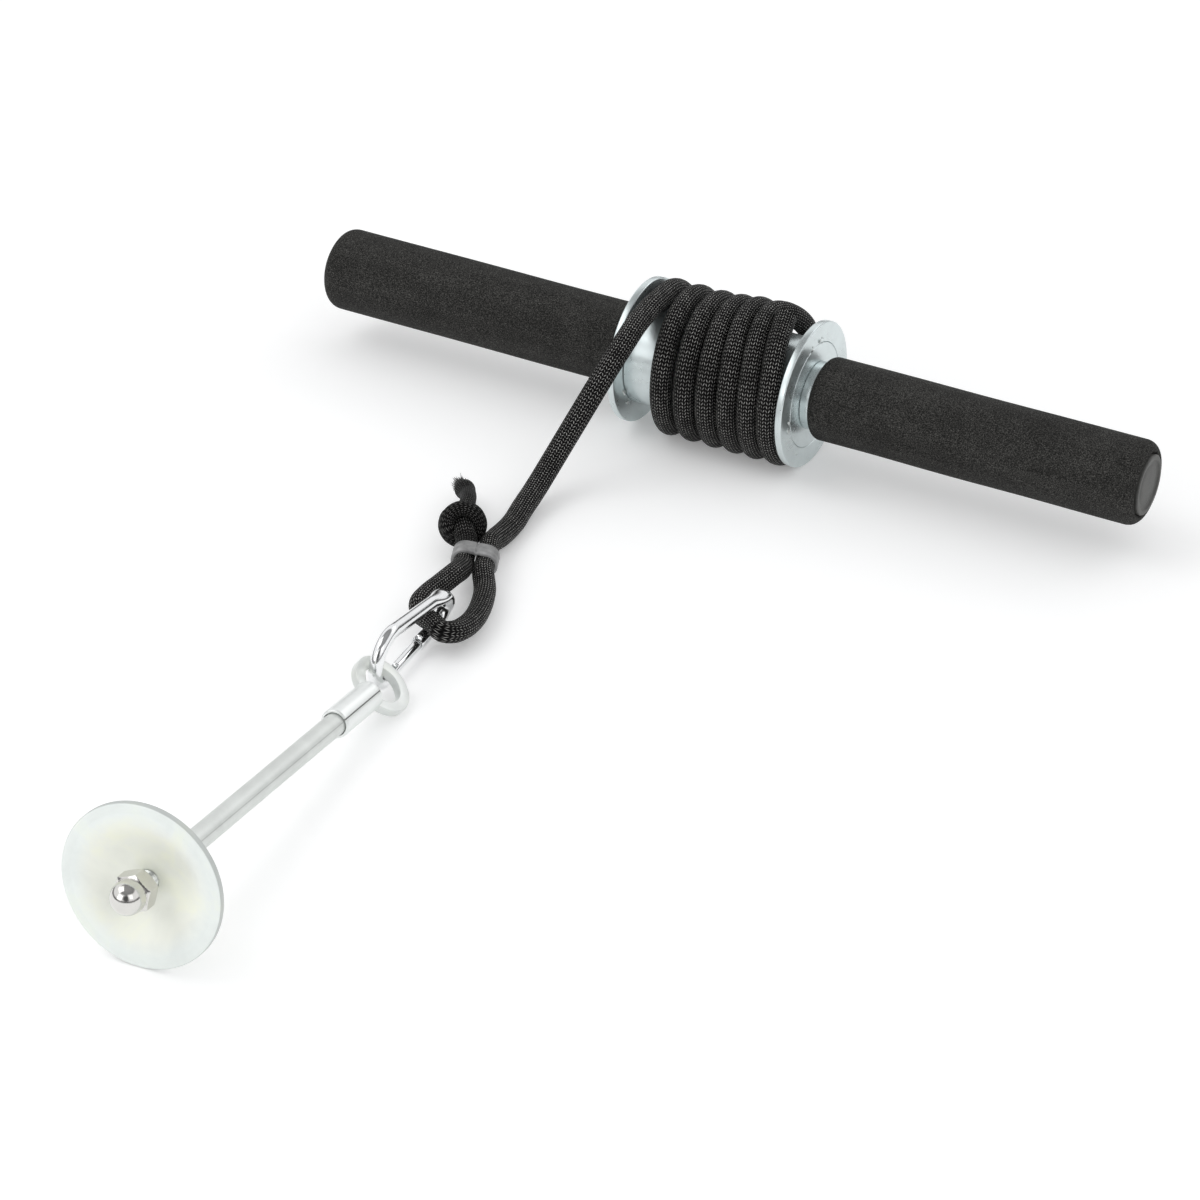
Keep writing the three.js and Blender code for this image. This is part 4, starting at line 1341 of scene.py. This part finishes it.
def ferrule():
    """Rolled sleeve with a lengthwise seam, over the ring at one end, the rod at the other."""
    shoulder = FERRULE_END - MOUTH_DEPTH
    neck_bore = NECK_RADIUS + CLEARANCE
    outline = [
        [FERRULE_BORE - 0.6, FERRULE_START],
        *arc(FERRULE_RADIUS - 0.8, FERRULE_START + 0.8, 0.8, -90, 0, 4),
        *arc(FERRULE_RADIUS - 0.5, FERRULE_END - 0.5, 0.5, 0, 90, 4),
        [FERRULE_BORE + 0.05, FERRULE_END],
        [FERRULE_BORE, shoulder],
        [neck_bore, shoulder],
        [neck_bore, shoulder - SHOULDER_LENGTH],
        [FERRULE_BORE - 0.6, shoulder - SHOULDER_LENGTH],
    ]

    def ripple(angles, radius, height):
        if radius < FERRULE_BORE + 0.3:
            return np.zeros_like(angles)
        near = np.angle(np.exp(1j * (angles - SLEEVE_SEAM * DEGREE)))
        return -SEAM_DEPTH * np.exp(-((near / SEAM_WIDTH) ** 2)) + 0.03 * np.sin(2 * angles)

    return turned("swivel_sleeve", finely(outline, 1.5), EYE, 300, 40, ripple)


place_piece(eye_ring(), "swivel_eye", "bright_zinc", ["eye_ring"], RING_ZINC)
place_piece(ferrule(), "swivel_eye", "bright_zinc", ["ferrule"], SLEEVE_ZINC)

WELD_BEADS = 64


def weld_fillet():
    """Weld round the ring where the sleeve takes it."""
    dice = np.random.default_rng(11)
    points, radii = [], []
    for i in range(WELD_BEADS):
        angle = 2 * math.pi * i / WELD_BEADS
        x = (FERRULE_RADIUS - 0.9) * math.cos(angle)
        z = (EYE_THICKNESS / 2 + 0.5) * math.sin(angle)
        points.append(EYE.point(x, FERRULE_START + 0.5, z))
        radii.append(0.85 + 0.18 * math.sin(i * 1.9) + dice.uniform(-0.06, 0.06))
    path = np.array(points + points[:1])
    rings = tube_rings(path, np.array(radii + radii[:1]), carried(path, EYE.y), 14)
    return skinned("eye_weld", rings, lengths_of(path), 60)


place_piece(weld_fillet(), "swivel_eye", "bright_zinc", material=WELD)

HUB_FACE = BAND_FACE - DISC_DEPTH
NUT_START = HUB_FACE + DISC_THICKNESS + NUT_STANDOFF
THREAD_PITCH = 1.25
THREAD_DEPTH = 0.62
THREAD_IN_NUT = 9
NECK_START = FERRULE_END - MOUTH_DEPTH - SHOULDER_LENGTH - CLEARANCE - COLLAR_LENGTH - COLLAR_TIP
ROD_START = FERRULE_END - ROD_ENTER


def load_rod():
    outline = [
        [0, NECK_START],
        [NECK_RADIUS, NECK_START],
        [NECK_RADIUS, ROD_START],
        [ROD_RADIUS - 0.4, ROD_START],
        [ROD_RADIUS, ROD_START + 0.4],
        [ROD_RADIUS, HUB_FACE - 0.1],
        [STUD_RADIUS - 0.6, HUB_FACE - 0.1],
        [0, HUB_FACE - 0.1],
    ]

    def ripple(angles, radius, height):
        if radius < ROD_RADIUS - 0.1:
            return np.zeros_like(angles)
        return 0.02 * np.sin(2 * angles + height * 0.05)

    return turned("pin_rod", finely(outline, 4), EYE, 64, 40, ripple)


def thread():
    """Threaded end of the rod: the radius follows a helix."""
    start, end = HUB_FACE - 0.5, NUT_START + THREAD_IN_NUT
    heights = np.arange(start, end, THREAD_PITCH / 8)
    outline = [[0, start], *[[STUD_RADIUS, h] for h in heights], [STUD_RADIUS - 0.6, end], [0, end]]

    def ripple(angles, radius, height):
        if radius < STUD_RADIUS:
            return np.zeros_like(angles)
        phase = np.mod(height / THREAD_PITCH - angles / (2 * math.pi), 1)
        ridge = np.clip(np.abs(2 * phase - 1) * 1.25 - 0.08, 0, 1)
        return -THREAD_DEPTH * ridge

    return turned("pin_thread", outline, EYE, 48, 70, ripple)


def disc():
    """Pressed disc and its look: a cut edge, a flat band with a faint ring in it, and a dish."""
    outer = DISC_RADIUS - DISC_BAND
    edge = 0.4

    def face(at_height, steps=26):
        shares = [i / steps for i in range(steps + 1)]
        sinks = [DISC_DEPTH * (1 + math.cos(math.pi * share)) / 2 for share in shares]
        radii = [DISC_HUB + (outer - DISC_HUB) * share for share in shares]
        return [[radius, at_height - sink] for radius, sink in zip(radii, sinks)]

    ring = [[outer + 1.0, 0], [outer + 1.3, -0.05], [outer + 1.6, -0.06], [outer + 1.9, 0]]
    hole = STUD_RADIUS + 0.12
    outline = [
        [hole, HUB_FACE],
        *face(BAND_FACE),
        *[[r, BAND_FACE - d] for r, d in ring],
        *arc(DISC_RADIUS - edge, BAND_FACE + edge, edge, -90, 0, 5),
        *arc(DISC_RADIUS - edge, DISC_DISTANCE - edge, edge, 0, 90, 5),
        *[[r, DISC_DISTANCE + d] for r, d in reversed(ring)],
        *face(DISC_DISTANCE)[::-1],
        [hole, HUB_FACE + DISC_THICKNESS],
    ]

    def ripple(angles, radius, height):
        share = max(0, (radius - DISC_HUB) / DISC_RADIUS)
        return share * (0.06 * np.sin(2 * angles + 0.4) + 0.04 * np.sin(3 * angles + 2))

    along = zip(lengths_of(outline), outline)
    at_rim = [length for length, (radius, _) in along if radius > DISC_RADIUS - edge / 2]
    piece = turned("dished_plate", outline, EYE, 160, 40, ripple)
    look = metal_look(
        "disc_zinc",
        (0.945, 0.955, 0.91),
        0.55,
        mottle=0.06,
        scratches=0.3,
        warm=0.07,
        sheen=0.3,
        rim=(np.mean(at_rim), DISC_THICKNESS / 2),
    )
    return piece, look


NUT_BEVEL = 0.25
NUT_CHAMFER = 32 * DEGREE
NUT_STEPS = 144
COLLAR = [(0, 0.05), (0.15, -0.15), (0.5, -0.2), (0.75, 0)]  # height over the hexagon, growth


def nut():
    """Hexagon with chamfered corners, a short collar and a polished dome."""
    apothem = NUT_ACROSS / 2
    angles = round_angles(NUT_STEPS)
    hexagon = apothem / np.cos(np.mod(angles, math.pi / 3) - math.pi / 6)
    rows = [(0, STUD_RADIUS + 0.1), (0, apothem - NUT_BEVEL)]
    heights = [*np.arange(0, 0.9, 0.12), 0.9, 2.2, 4.4, 5.4]
    for height in [*heights, *np.arange(5.5, NUT_HEX_HEIGHT + 0.01, 0.1)]:
        edge_distance = min(height, NUT_HEX_HEIGHT - height)
        cone = apothem - NUT_BEVEL + edge_distance / math.tan(NUT_CHAMFER)
        rows.append((height, np.minimum(hexagon, cone)))
    rows += [(NUT_HEX_HEIGHT + height, NUT_DOME_RADIUS + growth) for height, growth in COLLAR]
    base = NUT_HEIGHT - NUT_DOME_RADIUS
    for angle in (degrees * DEGREE for degrees in range(0, 90, 5)):
        rows.append((base + NUT_DOME_RADIUS * math.sin(angle), NUT_DOME_RADIUS * math.cos(angle)))
    rows.append((NUT_HEIGHT, 0))
    rings = [
        ring_round(EYE, NUT_START + height, radius * np.ones(NUT_STEPS)) for height, radius in rows
    ]
    return skinned("acorn_nut", rings, [NUT_START + height for height, _ in rows], 24)


place_piece(load_rod(), "load_pin", "bright_zinc", ["load_rod"], ROD_ZINC)
place_piece(thread(), "load_pin", "bright_zinc")
plate, plate_look = disc()
place_piece(plate, "load_pin", "bright_zinc", ["plate_disc"], plate_look)
place_piece(nut(), "load_pin", "polished_steel", ["dome_nut"], NUT_STEEL)


# CAD nodes that stay

for name, finish in {
    "bar_tube": "zinc_steel",
    "gate_spring": "zinc_steel",
    "swivel_collar": "bright_zinc",
}.items():
    node = bpy.data.objects[name]
    for slot in node.material_slots:
        slot.material = FINISHES[finish]


# Floor and light

FLOOR_SIZE = 9.0  # metres
FLOOR_LEVEL = -0.1  # just below the pieces that touch it


def floor():
    """White floor. It glows a little where the camera or a reflection sees it."""
    bm = bmesh.new()
    half = FLOOR_SIZE / MM / 2
    signs = ((-1, -1), (1, -1), (1, 1), (-1, 1))
    corners = [bm.verts.new((x * half, y * half, FLOOR_LEVEL)) for x, y in signs]
    bm.faces.new(corners)
    piece = finish_mesh("floor", bm)
    look = Look("floor_white", Base_Color=(0.95, 0.95, 0.95, 1), Roughness=0.9)
    look.finish(Specular_IOR_Level=0, Emission_Color=WHITE)
    rays = look.node("LightPath").outputs
    seen = look.maths("MAXIMUM", rays["Is Camera Ray"], rays["Is Glossy Ray"])
    seen = look.maths("MAXIMUM", seen, rays["Is Transmission Ray"])
    look.finish(Emission_Strength=look.maths("MULTIPLY", seen, 0.2))
    piece.data.materials.append(look.material)


WHITE = (1, 1, 1, 1)
STUDIO_LIGHT = (0.72, 0.725, 0.73, 1)
BANDS = [  # how bright reflections see the studio, from straight down to straight up
    (0.0, 1.0),
    (0.49, 0.95),
    (0.505, 0.12),
    (0.57, 0.25),
    (0.61, 1.0),
    (0.85, 1.0),
    (0.89, 0.25),
    (1.0, 0.35),
]
BAND_BLUE = 1.01
DARK_CARD = [(0.9, 1.0), (0.965, 0.1)]  # its brightness, by how directly it is seen


def world():
    """Even white studio light.

    Reflections also see dark bands just above the horizon and overhead, and a dark card where
    the photograph was taken from.
    """
    made = bpy.data.worlds.new("studio")
    scene.world = made
    made.use_nodes = True
    studio = Nodes(made.node_tree)
    way = studio.node("TexCoord").outputs["Generated"]
    up = studio.node("SeparateXYZ", {0: way}).outputs["Z"]
    stops = [(place, (grey, grey, grey * BAND_BLUE)) for place, grey in BANDS]
    bands = studio.ramp(studio.maths("MULTIPLY_ADD", up, 0.5, 0.5), *stops)
    card_way = tuple(unit(CAMERA_PLACE))
    toward = studio.node("VectorMath", {0: way, 1: card_way}, operation="DOT_PRODUCT")
    card = studio.ramp(toward.outputs["Value"], *DARK_CARD)
    rays = studio.node("LightPath").outputs
    seen = studio.mixed(rays["Is Glossy Ray"], STUDIO_LIGHT, studio.multiplied(bands, card))
    seen = studio.mixed(rays["Is Camera Ray"], seen, WHITE)
    studio.feed(studio.tree.nodes["Background"].inputs["Color"], seen)


def lamp(name, place, target, size, watts):
    """A rectangular lamp at a place in metres, turned to its target."""
    data = bpy.data.lights.new(name, "AREA")
    data.shape = "RECTANGLE"
    data.size, data.size_y = size
    data.energy = watts
    toward = unit(vec(*target) - vec(*place))
    side = unit(np.cross(toward, UP))
    columns = (side, np.cross(side, toward), -toward)
    posed(bpy.data.objects.new(name, data), columns, vec(*place))


floor()
world()
lamp("key", (-0.9, -0.7, 1.5), (0, -0.15, 0), (1.2, 0.9), 5.0)
lamp("fill", (1.3, -1.2, 1.2), (0, -0.15, 0), (1.0, 1.0), 2.0)
lamp("back", (0.5, 1.3, 1.1), (0, -0.1, 0), (1.4, 0.5), 2.0)
lamp("front", (-0.35, -1.35, 0.5), (-0.03, -0.44, 0.03), (0.6, 0.6), 1.2)
